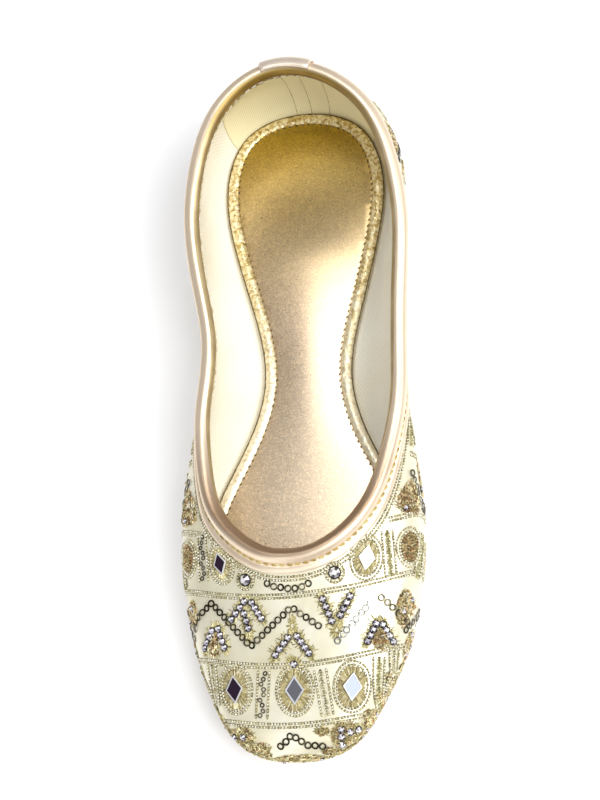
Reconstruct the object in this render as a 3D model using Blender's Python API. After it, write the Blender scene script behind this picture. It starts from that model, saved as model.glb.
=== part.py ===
"""A left ballet flat with an embroidered fabric upper, modelled at its real size.

Toe towards -Y, heel towards +Y, the wearer's outer (lateral) side towards +X, +Z up.  The shoe
stands on Z = 0.  Six pieces: outsole, upper, top line binding, backstay, insole, insole piping.

Every curved piece comes from two tables.  SECTIONS has a row for each radial section of the last,
from the toe to the heel: where the sole's edge is, how far the upper stands out beyond it, and
where the upper's top edge is.  A closed spline through the lateral rows and back through the
medial rows gives any number of sections, and each section's wall is two Bezier curves.
"""

import math

import bmesh
import bpy
import numpy as np

MM = 0.001

# Driving dimensions.
SOLE_LENGTH = 249.0 * MM
BALL_WIDTH = 79.2 * MM  # of the sole, at the joint of the big toe
INSTEP_HEIGHT = 43.6 * MM  # top edge of the upper at the throat, above the floor
HEEL_HEIGHT = 57.2 * MM  # top edge of the upper at the back, above the floor
FORE_THICKNESS = 5.0 * MM  # outsole under the ball
HEEL_THICKNESS = 9.5 * MM  # outsole under the heel
TOE_SPRING = 11.0 * MM  # underside at the toe tip, above the floor
ARCH_RISE = 2.2 * MM  # underside at the waist, above the floor
WALL = 2.0 * MM  # upper: fabric, backing and lining
GAP = 0.3 * MM  # between pieces that touch

# One row for each radial section, toe to heel.
#   along            sole edge, share of the sole's length from the toe tip
#   lateral, medial  sole edge, share of half the ball width (medial is towards -X)
#   out_l, out_m     how far the upper stands out beyond the sole's edge, mm
#   swell            height of that widest place above the sole's upper face, mm
#   top_along        top edge, share of the sole's length
#   top_l, top_m     top edge, share of half the ball width
#   top_z            top edge, share of the way from INSTEP_HEIGHT to HEEL_HEIGHT
#   lean             slope of the wall at the top edge, degrees from upright
#   rise, draw       lengths of the wall's handles at its widest place and at its top edge, mm
COLUMNS = (
    "along", "lateral", "medial", "out_l", "out_m", "swell",
    "top_along", "top_l", "top_m", "top_z", "lean", "rise", "draw",
)
SECTIONS = {
    "toe":          (0.000, -0.020, -0.020,  6.2,  6.2,  9.0, 0.252, -0.01, -0.01,  0.00, 66, 12.5, 33.0),
    "toe_quarter":  (0.011,  0.350, -0.390,  6.0,  5.6,  9.4, 0.256,  0.20, -0.21,  0.00, 64, 12.5, 31.0),
    "toe_corner":   (0.058,  0.620, -0.665,  4.6,  4.3, 10.6, 0.273,  0.42, -0.41, -0.04, 58, 12.0, 25.0),
    "toe_side":     (0.142,  0.885, -0.905,  3.4,  3.2, 12.6, 0.311,  0.67, -0.65, -0.11, 48, 11.0, 17.0),
    "joint":        (0.251,  0.995, -1.005,  4.9,  4.3, 14.8, 0.373,  0.87, -0.80, -0.18, 33, 10.5, 11.0),
    "joint_back":   (0.355,  0.915, -0.915,  8.4,  7.6, 17.0, 0.452,  1.00, -0.85, -0.21, 19,  9.0,  7.5),
    "arch_front":   (0.460,  0.614, -0.600, 16.2, 14.0, 19.6, 0.517,  1.04, -0.82, -0.19, 10,  8.0,  6.0),
    "waist":        (0.552,  0.460, -0.424, 21.8, 18.2, 20.8, 0.580,  1.05, -0.79, -0.11,  4,  7.5,  6.0),
    "shank":        (0.661,  0.566, -0.518, 18.4, 15.8, 20.8, 0.652,  1.07, -0.85,  0.02,  2,  7.5,  6.5),
    "breast":       (0.781,  0.745, -0.730, 11.8, 10.0, 20.6, 0.741,  1.10, -0.93,  0.24,  2,  8.0,  8.0),
    "heel_side":    (0.894,  0.783, -0.795,  8.4,  7.8, 20.2, 0.838,  1.03, -0.89,  0.53,  6,  9.0, 10.0),
    "heel_corner":  (0.968,  0.560, -0.600,  6.6,  6.7, 19.8, 0.932,  0.77, -0.66,  0.89, 12, 10.0, 11.0),
    "heel":         (1.000,  0.010,  0.010,  6.5,  6.5, 19.6, 0.996,  0.05,  0.05,  1.00, 18, 10.0, 12.0),
}

SECTION_COUNT = 84  # facets round the shoe
SLICE = 8.3 * MM  # facets along the shoe on the flat pieces
WALL_STEPS = (5, 8)  # facets up the wall, below and above its widest place
MARGIN = 7.0 * MM  # lasting margin, turned in between insole and outsole
FEATHER_INSET = 1.0 * MM  # from the sole's edge to the upper's lower corner

# Underside of the outsole, along the shoe as shares of its length.
SPRING_START = 0.215  # the toe lifts off in front of this
TREAD_END = 0.427  # the forefoot's last bar ends here, and the waist begins
BREAST = 0.725  # front of the heel plate
ARCH_RAMP = 0.10  # length over which the waist lifts off the floor
BREAST_STEP = 0.4 * MM  # length of the slope up to the heel plate
RIM_WIDTH = 5.0 * MM
CHANNEL_DEPTH = 1.2 * MM  # between the rim and the tread bars
EDGE_ROUND = 0.8 * MM
FEATHER_STEP = 0.6 * MM  # the side wall steps in just under the upper
FEATHER_LIP = 1.3 * MM
# Smooth channels across the tread, between one raised bar and the next, as shares of the sole's length.
TREAD_CHANNELS = {
    "toe_waves_to_fore_1": (0.048, 0.066),
    "fore_1_to_2":         (0.104, 0.123),
    "fore_2_to_3":         (0.166, 0.184),
    "fore_3_to_4":         (0.229, 0.247),
    "fore_4_to_5":         (0.294, 0.311),
    "fore_5_to_6":         (0.359, 0.378),
    "fore_6_to_waist":     (TREAD_END, 0.442),
    "heel_1_to_2":         (0.774, 0.793),
    "heel_2_to_3":         (0.838, 0.858),
    "heel_3_to_waves":     (0.904, 0.922),
}

# Binding, backstay, insole and piping.
FLANGE_OUTSIDE = 6.2 * MM
FLANGE_INSIDE = 3.4 * MM
BINDING_SKIN = 0.9 * MM
CREST_RISE = 2.3 * MM  # the roll above the upper's edge
CREST_SWELL = 0.5 * MM  # the roll is fatter than the flanges
BACKSTAY_WIDTH = 18.5 * MM
BACKSTAY_SKIN = 0.9 * MM
BACKSTAY_SECTIONS = 600  # fine sections of the wall, of which the strip takes a few
BACKSTAY_COLUMNS = 9
INSOLE_THICKNESS = 2.8 * MM
INSOLE_INSET = 5.2 * MM  # from the sole's edge to the sock's edge, under the piping's inner side
PIPING_WIDTH = 3.9 * MM
PIPING_HEIGHT = 3.8 * MM
PIPING_INSET = 1.0 * MM

HALF_BALL = BALL_WIDTH / 2


def along_to_y(share):
    return (share - 0.5) * SOLE_LENGTH


def smooth(t):
    t = np.clip(t, 0.0, 1.0)
    return t * t * (3 - 2 * t)


# ------------------------------------------------------------------ the last

def closed_spline(knots, values, at):
    """Periodic cubic spline through rows of values; knots has one more entry than values."""
    count = len(values)
    step = np.diff(knots)
    slope = (np.roll(values, -1, axis=0) - values) / step[:, None]
    system = np.zeros((count, count))
    right = np.zeros_like(values)
    for i in range(count):
        before, after = step[i - 1], step[i]
        system[i, (i - 1) % count] = before
        system[i, i] = 2 * (before + after)
        system[i, (i + 1) % count] = after
        right[i] = 6 * (slope[i] - slope[i - 1])
    bend = np.linalg.solve(system, right)
    period = knots[-1]
    at = np.mod(at, period)
    i = np.clip(np.searchsorted(knots, at, side="right") - 1, 0, count - 1)
    h = step[i][:, None]
    a = (at - knots[i])[:, None]
    b = h - a
    left, nxt = values[i], values[(i + 1) % count]
    m0, m1 = bend[i], bend[(i + 1) % count]
    return (
        (m0 * b**3 + m1 * a**3) / (6 * h)
        + (left / h - m0 * h / 6) * b
        + (nxt / h - m1 * h / 6) * a
    )


def section_rows():
    """Both sides of the table as one closed loop: heel, lateral, toe, medial."""
    names = list(SECTIONS)
    loop = [(n, "lateral") for n in reversed(names)] + [(n, "medial") for n in names[1:-1]]
    rows = []
    for name, side in loop:
        s = dict(zip(COLUMNS, SECTIONS[name]))
        lateral = side == "lateral"
        rows.append(
            (
                s["lateral" if lateral else "medial"] * HALF_BALL,
                along_to_y(s["along"]),
                s["out_l" if lateral else "out_m"] * MM,
                s["swell"] * MM,
                s["top_l" if lateral else "top_m"] * HALF_BALL,
                along_to_y(s["top_along"]),
                INSTEP_HEIGHT + s["top_z"] * (HEEL_HEIGHT - INSTEP_HEIGHT),
                s["lean"],
                s["rise"] * MM,
                s["draw"] * MM,
            )
        )
    return np.array(rows)


def spaced_sections(count):
    """The rows' spline, sampled at equal steps along the sole's edge from the middle of the heel."""
    rows = section_rows()
    chord = np.linalg.norm(np.roll(rows[:, :2], -1, axis=0) - rows[:, :2], axis=1)
    knots = np.concatenate([[0.0], np.cumsum(chord)])
    fine = np.linspace(0, knots[-1], 4001)
    edge = closed_spline(knots, rows, fine)[:, :2]
    length = np.concatenate([[0.0], np.cumsum(np.linalg.norm(np.diff(edge, axis=0), axis=1))])
    at = np.interp(np.arange(count) / count * length[-1], length, fine)
    return closed_spline(knots, rows, at)


def outward(loop):
    """Unit normals, in plan, of a closed loop that runs heel, lateral, toe, medial."""
    along = np.roll(loop, -1, axis=0) - np.roll(loop, 1, axis=0)
    normal = np.stack([-along[:, 1], along[:, 0]], axis=1)
    return normal / np.linalg.norm(normal, axis=1)[:, None]


def underside(y):
    """Height of the outsole's lowest face above the floor."""
    share = np.asarray(y) / SOLE_LENGTH + 0.5
    lift = np.clip((SPRING_START - share) / SPRING_START, 0, None)
    arch = smooth((share - TREAD_END) / ARCH_RAMP) * (share < BREAST - BREAST_STEP / SOLE_LENGTH / 2)
    return TOE_SPRING * lift**1.7 + ARCH_RISE * arch


def sole_top(y):
    """Height of the outsole's upper face."""
    share = np.asarray(y) / SOLE_LENGTH + 0.5
    lift = np.clip((SPRING_START - share) / SPRING_START, 0, None)
    heel = smooth((share - 0.34) / 0.42)
    return FORE_THICKNESS + (HEEL_THICKNESS - FORE_THICKNESS) * heel + TOE_SPRING * lift**1.7


def bezier(p0, p1, p2, p3, t):
    t = t[None, :, None]
    p0, p1, p2, p3 = (p[:, None, :] for p in (p0, p1, p2, p3))
    return p0 * (1 - t)**3 + 3 * p1 * t * (1 - t)**2 + 3 * p2 * t**2 * (1 - t) + p3 * t**3


def wall_grid(count, lower_steps, upper_steps):
    """Outer face of the upper: count sections round the shoe, from the lower corner to the top edge."""
    rows = spaced_sections(count)
    edge, top = rows[:, 0:2], rows[:, 4:6]
    out, swell, top_z = rows[:, 2:3], rows[:, 3:4], rows[:, 6:7]
    lean, rise, draw = np.radians(rows[:, 7:8]), rows[:, 8:9], rows[:, 9:10]
    edge_normal, top_normal = outward(edge), outward(top)
    corner = edge - edge_normal * FEATHER_INSET
    corner_z = sole_top(corner[:, 1:2]) + GAP
    wide = edge + edge_normal * out
    wide_z = corner_z + swell
    reach = out + FEATHER_INSET

    foot = np.hstack([corner, corner_z])
    foot_handle = np.hstack([corner + edge_normal * reach * 0.5, corner_z + swell * 0.10])
    side = np.hstack([wide, wide_z])
    flare = np.sum((top - wide) * edge_normal, axis=1, keepdims=True) / (top_z - wide_z)
    upright = np.hstack([edge_normal * np.clip(flare, 0, None), np.ones_like(flare)])
    side_below = side - upright * swell * 0.55
    side_above = side + upright * rise
    crown = np.hstack([top, top_z])
    crown_handle = crown + np.hstack([top_normal * np.sin(lean), -np.cos(lean)]) * draw

    lower = bezier(foot, foot_handle, side_below, side, np.linspace(0, 1, lower_steps + 1))
    upper = bezier(side, side_above, crown_handle, crown, np.linspace(0, 1, upper_steps + 1))
    return np.concatenate([lower, upper[:, 1:]], axis=1)


def grid_normals(grid):
    """Outward normals of a grid that is closed along its first axis."""
    round_shoe = np.roll(grid, -1, axis=0) - np.roll(grid, 1, axis=0)
    up_wall = np.gradient(grid, axis=1)
    normal = np.cross(up_wall, round_shoe)
    return normal / np.linalg.norm(normal, axis=2)[:, :, None]


class Wall:
    """The upper's outer face, measured downwards from its top edge."""

    def __init__(self, count):
        self.grid = wall_grid(count, 24, 60)[:, ::-1]
        self.normal = -grid_normals(self.grid)
        step = np.linalg.norm(np.diff(self.grid, axis=1), axis=2)
        self.down = np.concatenate([np.zeros((count, 1)), np.cumsum(step, axis=1)], axis=1)

    def place(self, i, down, proud):
        """Point down the wall of section i, and proud of its outer face; above the edge if down < 0."""
        point = np.array([np.interp(down, self.down[i], self.grid[i, :, k]) for k in range(3)])
        normal = np.array([np.interp(down, self.down[i], self.normal[i, :, k]) for k in range(3)])
        if down < 0:
            rise = self.grid[i, 0] - self.grid[i, 2]
            point = point - rise / np.linalg.norm(rise) * down
        return point + normal / np.linalg.norm(normal) * proud


# ------------------------------------------------------------------ mesh helpers

def finish(name, bm, colour, roughness, metallic):
    """Makes a named object with its own material from a bmesh."""
    bmesh.ops.recalc_face_normals(bm, faces=bm.faces)
    mesh = bpy.data.meshes.new(name)
    bm.to_mesh(mesh)
    bm.free()
    obj = bpy.data.objects.new(name, mesh)
    bpy.context.scene.collection.objects.link(obj)
    material = bpy.data.materials.new(name + "_finish")
    material.use_nodes = True
    shader = material.node_tree.nodes["Principled BSDF"]
    shader.inputs["Base Color"].default_value = (*colour, 1)
    shader.inputs["Roughness"].default_value = roughness
    shader.inputs["Metallic"].default_value = metallic
    mesh.materials.append(material)
    mesh.shade_smooth()
    mesh.set_sharp_from_angle(angle=math.radians(40))
    return obj


def add_rings(bm, rings, closed=False):
    """Joins loops of points, each closed in itself, by bands of quads; returns the loops' vertices."""
    loops = [[bm.verts.new(p) for p in ring] for ring in rings]
    pairs = list(zip(loops, loops[1:] + loops[:1])) if closed else list(zip(loops, loops[1:]))
    for a, b in pairs:
        for i in range(len(a)):
            j = (i + 1) % len(a)
            bm.faces.new((a[i], a[j], b[j], b[i]))
    return loops


def cap(bm, loop):
    bm.faces.new(loop)


def slice_across(bm, extra=()):
    """Cuts every face at equal steps along the shoe, so that it can be bent."""
    for y in list(np.arange(-SOLE_LENGTH / 2 + SLICE, SOLE_LENGTH / 2, SLICE)) + list(extra):
        bmesh.ops.bisect_plane(
            bm,
            geom=bm.verts[:] + bm.edges[:] + bm.faces[:],
            dist=1e-6,
            plane_co=(0, y, 0),
            plane_no=(0, 1, 0),
        )


def inset_edge(count, inset):
    """The sole's edge, moved inwards."""
    edge = spaced_sections(count)[:, 0:2]
    return edge - outward(edge) * inset


def level(loop, z):
    return np.hstack([loop, np.full((len(loop), 1), z)])


# ------------------------------------------------------------------ the pieces

def channel_cutter():
    """What is cut from between one tread bar and the next, inside the rim."""
    inner = inset_edge(SECTION_COUNT, RIM_WIDTH)
    bm = bmesh.new()
    for start, end in TREAD_CHANNELS.values():
        front, back = along_to_y(start), along_to_y(end)
        field = bmesh.new()
        loops = add_rings(field, [level(inner, -1 * MM), level(inner, CHANNEL_DEPTH)])
        cap(field, loops[0][::-1])
        cap(field, loops[1])
        for y, keep in ((front, 1), (back, -1)):
            cut = bmesh.ops.bisect_plane(
                field,
                geom=field.verts[:] + field.edges[:] + field.faces[:],
                dist=1e-6,
                plane_co=(0, y, 0),
                plane_no=(0, keep, 0),
                clear_inner=True,
            )
            rim = [e for e in cut["geom_cut"] if isinstance(e, bmesh.types.BMEdge)]
            bmesh.ops.contextual_create(field, geom=rim)
        bmesh.ops.recalc_face_normals(field, faces=field.faces)
        piece = bpy.data.meshes.new("channel")
        field.to_mesh(piece)
        field.free()
        bm.from_mesh(piece)
        bpy.data.meshes.remove(piece)
    return bm


def make_outsole():
    """Flat slab with its tread cut in, then bent to the arch and the toe spring."""
    slab_top = FORE_THICKNESS
    outline = inset_edge(SECTION_COUNT, 0)
    bm = bmesh.new()
    loops = add_rings(
        bm,
        [
            level(inset_edge(SECTION_COUNT, EDGE_ROUND), 0),
            level(outline, EDGE_ROUND),
            level(outline, slab_top - FEATHER_LIP),
            level(inset_edge(SECTION_COUNT, FEATHER_STEP), slab_top - FEATHER_LIP + 0.3 * MM),
            level(inset_edge(SECTION_COUNT, FEATHER_STEP), slab_top),
        ],
    )
    cap(bm, loops[0][::-1])
    cap(bm, loops[-1])
    sole = finish("outsole", bm, (0.72, 0.47, 0.22), 0.5, 0.0)

    cutter = finish("channel_cutter", channel_cutter(), (0.5, 0.5, 0.5), 0.5, 0.0)
    cut = sole.modifiers.new("channels", "BOOLEAN")
    cut.operation = "DIFFERENCE"
    cut.object = cutter
    evaluated = sole.evaluated_get(bpy.context.evaluated_depsgraph_get())
    bm = bmesh.new()
    bm.from_mesh(evaluated.to_mesh())
    sole.modifiers.remove(cut)
    bpy.data.objects.remove(cutter)

    breast = along_to_y(BREAST)
    slice_across(bm, (breast - BREAST_STEP, breast))
    for v in bm.verts:
        share = v.co.z / slab_top
        low = float(underside(v.co.y))
        high = float(sole_top(v.co.y))
        if v.co.z <= CHANNEL_DEPTH + 1e-6:
            v.co.z += low
        else:
            v.co.z = low + (high - low) * share
    bmesh.ops.triangulate(bm, faces=bm.faces)
    bm.to_mesh(sole.data)
    bm.free()
    return sole


def make_upper():
    """Outer face with its turned-in margin, given its thickness inwards."""
    grid = wall_grid(SECTION_COUNT, *WALL_STEPS)
    corner = grid[:, 0, :2]
    tuck = corner - outward(corner) * MARGIN
    margin = np.hstack([tuck, (sole_top(tuck[:, 1]) + GAP)[:, None]])
    bm = bmesh.new()
    add_rings(bm, [margin] + [grid[:, k] for k in range(grid.shape[1])])
    upper = finish("upper", bm, (0.78, 0.72, 0.52), 0.45, 0.2)
    wall = upper.modifiers.new("wall", "SOLIDIFY")
    wall.thickness = WALL
    wall.offset = -1
    wall.use_even_offset = True
    wall.use_rim = True
    return upper


def make_binding(wall):
    """Strip folded over the top edge: outer flange, roll, inner flange."""
    near, far = GAP, GAP + BINDING_SKIN
    inner_near, inner_far = -WALL - near, -WALL - far
    profile = (
        (FLANGE_OUTSIDE, near),
        (FLANGE_OUTSIDE, far),
        (FLANGE_OUTSIDE * 0.45, far),
        (0.6 * MM, far + 0.1 * MM),
        (-CREST_RISE * 0.45, far + CREST_SWELL * 0.6),
        (-CREST_RISE * 0.9, near),
        (-CREST_RISE, -WALL / 2),
        (-CREST_RISE * 0.9, inner_near),
        (-CREST_RISE * 0.45, inner_far - CREST_SWELL * 0.6),
        (0.6 * MM, inner_far),
        (FLANGE_INSIDE, inner_far),
        (FLANGE_INSIDE, inner_near),
        (-GAP, inner_near),
        (-GAP, near),
        (FLANGE_OUTSIDE * 0.45, near),
    )
    rings = [
        [wall.place(i, down, proud) for i in range(SECTION_COUNT)] for down, proud in profile
    ]
    bm = bmesh.new()
    add_rings(bm, rings, closed=True)
    return finish("topline_binding", bm, (0.72, 0.55, 0.40), 0.32, 0.7)


def make_backstay():
    """Strip over the back seam, outside the binding's flange, down to the sole."""
    wall = Wall(BACKSTAY_SECTIONS)
    halfway = wall.grid.shape[1] // 2
    step = np.linalg.norm(wall.grid[1, halfway] - wall.grid[0, halfway])
    reach = int(round(BACKSTAY_WIDTH / 2 / step))
    columns = np.linspace(-reach, reach, BACKSTAY_COLUMNS).round().astype(int)
    over = GAP + BINDING_SKIN + GAP
    height = wall.down[0, -1]
    stations = (
        (0.3 * MM, over), (3.2 * MM, over), (FLANGE_OUTSIDE + 0.4 * MM, over),
        (FLANGE_OUTSIDE + 2.6 * MM, GAP),
    )
    rest = np.linspace(FLANGE_OUTSIDE + 2.6 * MM, height - 1.2 * MM, 8)[1:]
    stations = list(stations) + [(down, GAP) for down in rest]
    bm = bmesh.new()
    shells = []
    for extra in (0.0, BACKSTAY_SKIN):
        shells.append(
            [[bm.verts.new(wall.place(c, d, p + extra)) for c in columns] for d, p in stations]
        )
    low, high = shells
    for r in range(len(stations) - 1):
        for c in range(len(columns) - 1):
            for s in (low, high):
                bm.faces.new((s[r][c], s[r][c + 1], s[r + 1][c + 1], s[r + 1][c]))
    rows, cols = len(stations), len(columns)
    border = (
        [(0, c) for c in range(cols)]
        + [(r, cols - 1) for r in range(1, rows)]
        + [(rows - 1, c) for c in range(cols - 2, -1, -1)]
        + [(r, 0) for r in range(rows - 2, 0, -1)]
    )
    for (r0, c0), (r1, c1) in zip(border, border[1:] + border[:1]):
        bm.faces.new((low[r0][c0], low[r1][c1], high[r1][c1], high[r0][c0]))
    return finish("backstay", bm, (0.74, 0.56, 0.42), 0.32, 0.7)


def make_insole():
    """Padded sock on its board, above the upper's turned-in margin."""
    base = GAP + WALL + GAP
    edge = inset_edge(SECTION_COUNT, INSOLE_INSET)
    inner = inset_edge(SECTION_COUNT, INSOLE_INSET + 2.5 * MM)
    bm = bmesh.new()
    loops = add_rings(
        bm,
        [
            level(edge, base),
            level(edge, base + INSOLE_THICKNESS * 0.75),
            level(inner, base + INSOLE_THICKNESS),
        ],
    )
    cap(bm, loops[0][::-1])
    cap(bm, loops[-1])
    slice_across(bm)
    for v in bm.verts:
        v.co.z += float(sole_top(v.co.y))
    bmesh.ops.triangulate(bm, faces=bm.faces)
    return finish("insole", bm, (0.68, 0.50, 0.28), 0.3, 0.8)


def make_piping():
    """Round foil-covered cord that frames the sock."""
    base = GAP + WALL + GAP
    middle = PIPING_INSET + PIPING_WIDTH / 2
    sides = 8
    rings = []
    for k in range(sides):
        turn = 2 * math.pi * (k + 0.5) / sides
        loop = inset_edge(SECTION_COUNT, middle + PIPING_WIDTH / 2 * math.cos(turn))
        z = base + PIPING_HEIGHT / 2 * (1 + math.sin(turn)) + sole_top(loop[:, 1])
        rings.append(np.hstack([loop, z[:, None]]))
    bm = bmesh.new()
    add_rings(bm, rings, closed=True)
    return finish("insole_piping", bm, (0.74, 0.58, 0.26), 0.35, 0.8)


def main():
    for obj in list(bpy.data.objects):
        bpy.data.objects.remove(obj)
    make_outsole()
    make_upper()
    make_binding(Wall(SECTION_COUNT))
    make_backstay()
    make_insole()
    make_piping()


main()
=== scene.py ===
"""Looks of the embroidered ballet flat: satin upper, lining, binding, sock, tread and hand embroidery."""

import math

import bmesh
import bpy
import numpy as np
from mathutils import Matrix, Vector, noise
from mathutils.bvhtree import BVHTree


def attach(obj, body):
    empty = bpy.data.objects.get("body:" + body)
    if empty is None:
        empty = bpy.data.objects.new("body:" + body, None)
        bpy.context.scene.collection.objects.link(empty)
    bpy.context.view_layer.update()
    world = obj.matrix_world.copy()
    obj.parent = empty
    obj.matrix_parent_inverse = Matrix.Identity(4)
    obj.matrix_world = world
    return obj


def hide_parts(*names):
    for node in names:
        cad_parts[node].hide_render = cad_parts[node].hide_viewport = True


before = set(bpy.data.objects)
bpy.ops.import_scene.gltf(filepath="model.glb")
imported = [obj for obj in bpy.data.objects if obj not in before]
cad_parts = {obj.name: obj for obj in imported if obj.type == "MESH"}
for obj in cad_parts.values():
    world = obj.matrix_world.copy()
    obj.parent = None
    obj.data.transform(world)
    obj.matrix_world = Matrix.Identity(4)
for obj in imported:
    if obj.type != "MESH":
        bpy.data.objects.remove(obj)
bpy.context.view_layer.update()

MM = 0.001

# ------------------------------------------------------------------ the last
# Toe towards -Y, heel towards +Y, floor at Z = 0. Towards +X lies the outer side of this left shoe.
SOLE_LENGTH = 249.0 * MM
BALL_WIDTH = 79.2 * MM
HALF_BALL = BALL_WIDTH / 2
INSTEP_HEIGHT = 43.6 * MM
HEEL_HEIGHT = 57.2 * MM
FORE_THICKNESS = 5.0 * MM
HEEL_THICKNESS = 9.5 * MM
TOE_SPRING = 11.0 * MM
ARCH_RISE = 2.2 * MM
WALL = 2.0 * MM
GAP = 0.3 * MM
FEATHER_INSET = 1.0 * MM

# One row per section from toe to heel, as in the solids:
#   along            place on the sole's edge, share of the sole's length
#   lateral, medial  half widths of the sole, shares of half the ball width
#   out_l, out_m     how far the wall stands out past the edge at its widest, mm
#   swell            height of that widest place above the sole, mm
#   top_along        place of the top edge, share of the length
#   top_l, top_m     half widths of the top edge, shares of half the ball width
#   top_z            height of the top edge, 0 at the instep and 1 at the heel
#   lean             slope of the wall at the top edge, degrees from upright
#   rise, draw       lengths of the wall's handles at its widest place and at its top edge, mm
COLUMNS = (
    "along", "lateral", "medial", "out_l", "out_m", "swell",
    "top_along", "top_l", "top_m", "top_z", "lean", "rise", "draw",
)
SECTIONS = {
    "toe":          (0.000, -0.020, -0.020,  6.2,  6.2,  9.0, 0.252, -0.01, -0.01,  0.00, 66, 12.5, 33.0),
    "toe_quarter":  (0.011,  0.350, -0.390,  6.0,  5.6,  9.4, 0.256,  0.20, -0.21,  0.00, 64, 12.5, 31.0),
    "toe_corner":   (0.058,  0.620, -0.665,  4.6,  4.3, 10.6, 0.273,  0.42, -0.41, -0.04, 58, 12.0, 25.0),
    "toe_side":     (0.142,  0.885, -0.905,  3.4,  3.2, 12.6, 0.311,  0.67, -0.65, -0.11, 48, 11.0, 17.0),
    "joint":        (0.251,  0.995, -1.005,  4.9,  4.3, 14.8, 0.373,  0.87, -0.80, -0.18, 33, 10.5, 11.0),
    "joint_back":   (0.355,  0.915, -0.915,  8.4,  7.6, 17.0, 0.452,  1.00, -0.85, -0.21, 19,  9.0,  7.5),
    "arch_front":   (0.460,  0.614, -0.600, 16.2, 14.0, 19.6, 0.517,  1.04, -0.82, -0.19, 10,  8.0,  6.0),
    "waist":        (0.552,  0.460, -0.424, 21.8, 18.2, 20.8, 0.580,  1.05, -0.79, -0.11,  4,  7.5,  6.0),
    "shank":        (0.661,  0.566, -0.518, 18.4, 15.8, 20.8, 0.652,  1.07, -0.85,  0.02,  2,  7.5,  6.5),
    "breast":       (0.781,  0.745, -0.730, 11.8, 10.0, 20.6, 0.741,  1.10, -0.93,  0.24,  2,  8.0,  8.0),
    "heel_side":    (0.894,  0.783, -0.795,  8.4,  7.8, 20.2, 0.838,  1.03, -0.89,  0.53,  6,  9.0, 10.0),
    "heel_corner":  (0.968,  0.560, -0.600,  6.6,  6.7, 19.8, 0.932,  0.77, -0.66,  0.89, 12, 10.0, 11.0),
    "heel":         (1.000,  0.010,  0.010,  6.5,  6.5, 19.6, 0.996,  0.05,  0.05,  1.00, 18, 10.0, 12.0),
}
SPRING_START = 0.215  # the toe lifts off in front of this
TREAD_END = 0.427
BREAST = 0.725  # front of the heel plate
ARCH_RAMP = 0.10
BREAST_STEP = 0.4 * MM
RIM_WIDTH = 5.0 * MM
CHANNEL_DEPTH = 1.2 * MM
EDGE_ROUND = 0.8 * MM
FEATHER_STEP = 0.6 * MM
FEATHER_LIP = 1.3 * MM

FLANGE_OUTSIDE = 6.2 * MM
FLANGE_INSIDE = 3.4 * MM
STITCH_LINE = 3.15 * MM
BINDING_SKIN = 0.9 * MM
CREST_RISE = 2.3 * MM
BACKSTAY_WIDTH = 18.5 * MM
BACKSTAY_SKIN = 0.9 * MM
INSOLE_THICKNESS = 2.8 * MM
INSOLE_INSET = 5.2 * MM
PIPING_WIDTH = 3.9 * MM
PIPING_HEIGHT = 3.8 * MM
PIPING_INSET = 1.0 * MM
INSIDE_BASE = GAP + WALL + GAP  # from the sole's upper face to the sock


def along_to_y(share):
    return (share - 0.5) * SOLE_LENGTH


def smooth(t):
    t = np.clip(t, 0.0, 1.0)
    return t * t * (3 - 2 * t)


def looped(rows):
    """Rows of a closed loop, with the first one again at the end."""
    return np.vstack([rows, rows[:1]])


def between(rows, at, places=None):
    """Rows read at places between them, in straight steps; they lie at whole numbers if not said."""
    places = np.arange(len(rows)) if places is None else places
    return np.stack([np.interp(at, places, column) for column in rows.T], axis=1)


def run_along(points):
    """Distance of each point from the first, along the straight steps between them."""
    return np.concatenate([[0.0], np.cumsum(np.linalg.norm(np.diff(points, axis=0), axis=1))])


# ------------------------------------------------------------------ walls over the last

def closed_spline(knots, values, at):
    """Periodic cubic spline through rows of values; knots has one more entry than values."""
    count = len(values)
    step = np.diff(knots)
    slope = (np.roll(values, -1, axis=0) - values) / step[:, None]
    system = np.zeros((count, count))
    right = np.zeros_like(values)
    for i in range(count):
        before, after = step[i - 1], step[i]
        system[i, (i - 1) % count] = before
        system[i, i] = 2 * (before + after)
        system[i, (i + 1) % count] = after
        right[i] = 6 * (slope[i] - slope[i - 1])
    bend = np.linalg.solve(system, right)
    period = knots[-1]
    at = np.mod(at, period)
    i = np.clip(np.searchsorted(knots, at, side="right") - 1, 0, count - 1)
    h = step[i][:, None]
    a = (at - knots[i])[:, None]
    b = h - a
    left, nxt = values[i], values[(i + 1) % count]
    m0, m1 = bend[i], bend[(i + 1) % count]
    return (
        (m0 * b**3 + m1 * a**3) / (6 * h)
        + (left / h - m0 * h / 6) * b
        + (nxt / h - m1 * h / 6) * a
    )


def section_rows():
    """Both sides of the table as one closed loop: heel, lateral, toe, medial."""
    names = list(SECTIONS)
    loop = [(n, "lateral") for n in reversed(names)] + [(n, "medial") for n in names[1:-1]]
    rows = []
    for name, side in loop:
        s = dict(zip(COLUMNS, SECTIONS[name]))
        lateral = side == "lateral"
        rows.append(
            (
                s["lateral" if lateral else "medial"] * HALF_BALL,
                along_to_y(s["along"]),
                s["out_l" if lateral else "out_m"] * MM,
                s["swell"] * MM,
                s["top_l" if lateral else "top_m"] * HALF_BALL,
                along_to_y(s["top_along"]),
                INSTEP_HEIGHT + s["top_z"] * (HEEL_HEIGHT - INSTEP_HEIGHT),
                s["lean"],
                s["rise"] * MM,
                s["draw"] * MM,
            )
        )
    return np.array(rows)


def spaced_sections(count):
    """The rows' spline, sampled at equal steps along the sole's edge from the middle of the heel."""
    rows = section_rows()
    knots = run_along(looped(rows[:, :2]))
    fine = np.linspace(0, knots[-1], 4001)
    length = run_along(closed_spline(knots, rows, fine)[:, :2])
    at = np.interp(np.arange(count) / count * length[-1], length, fine)
    return closed_spline(knots, rows, at)


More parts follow.
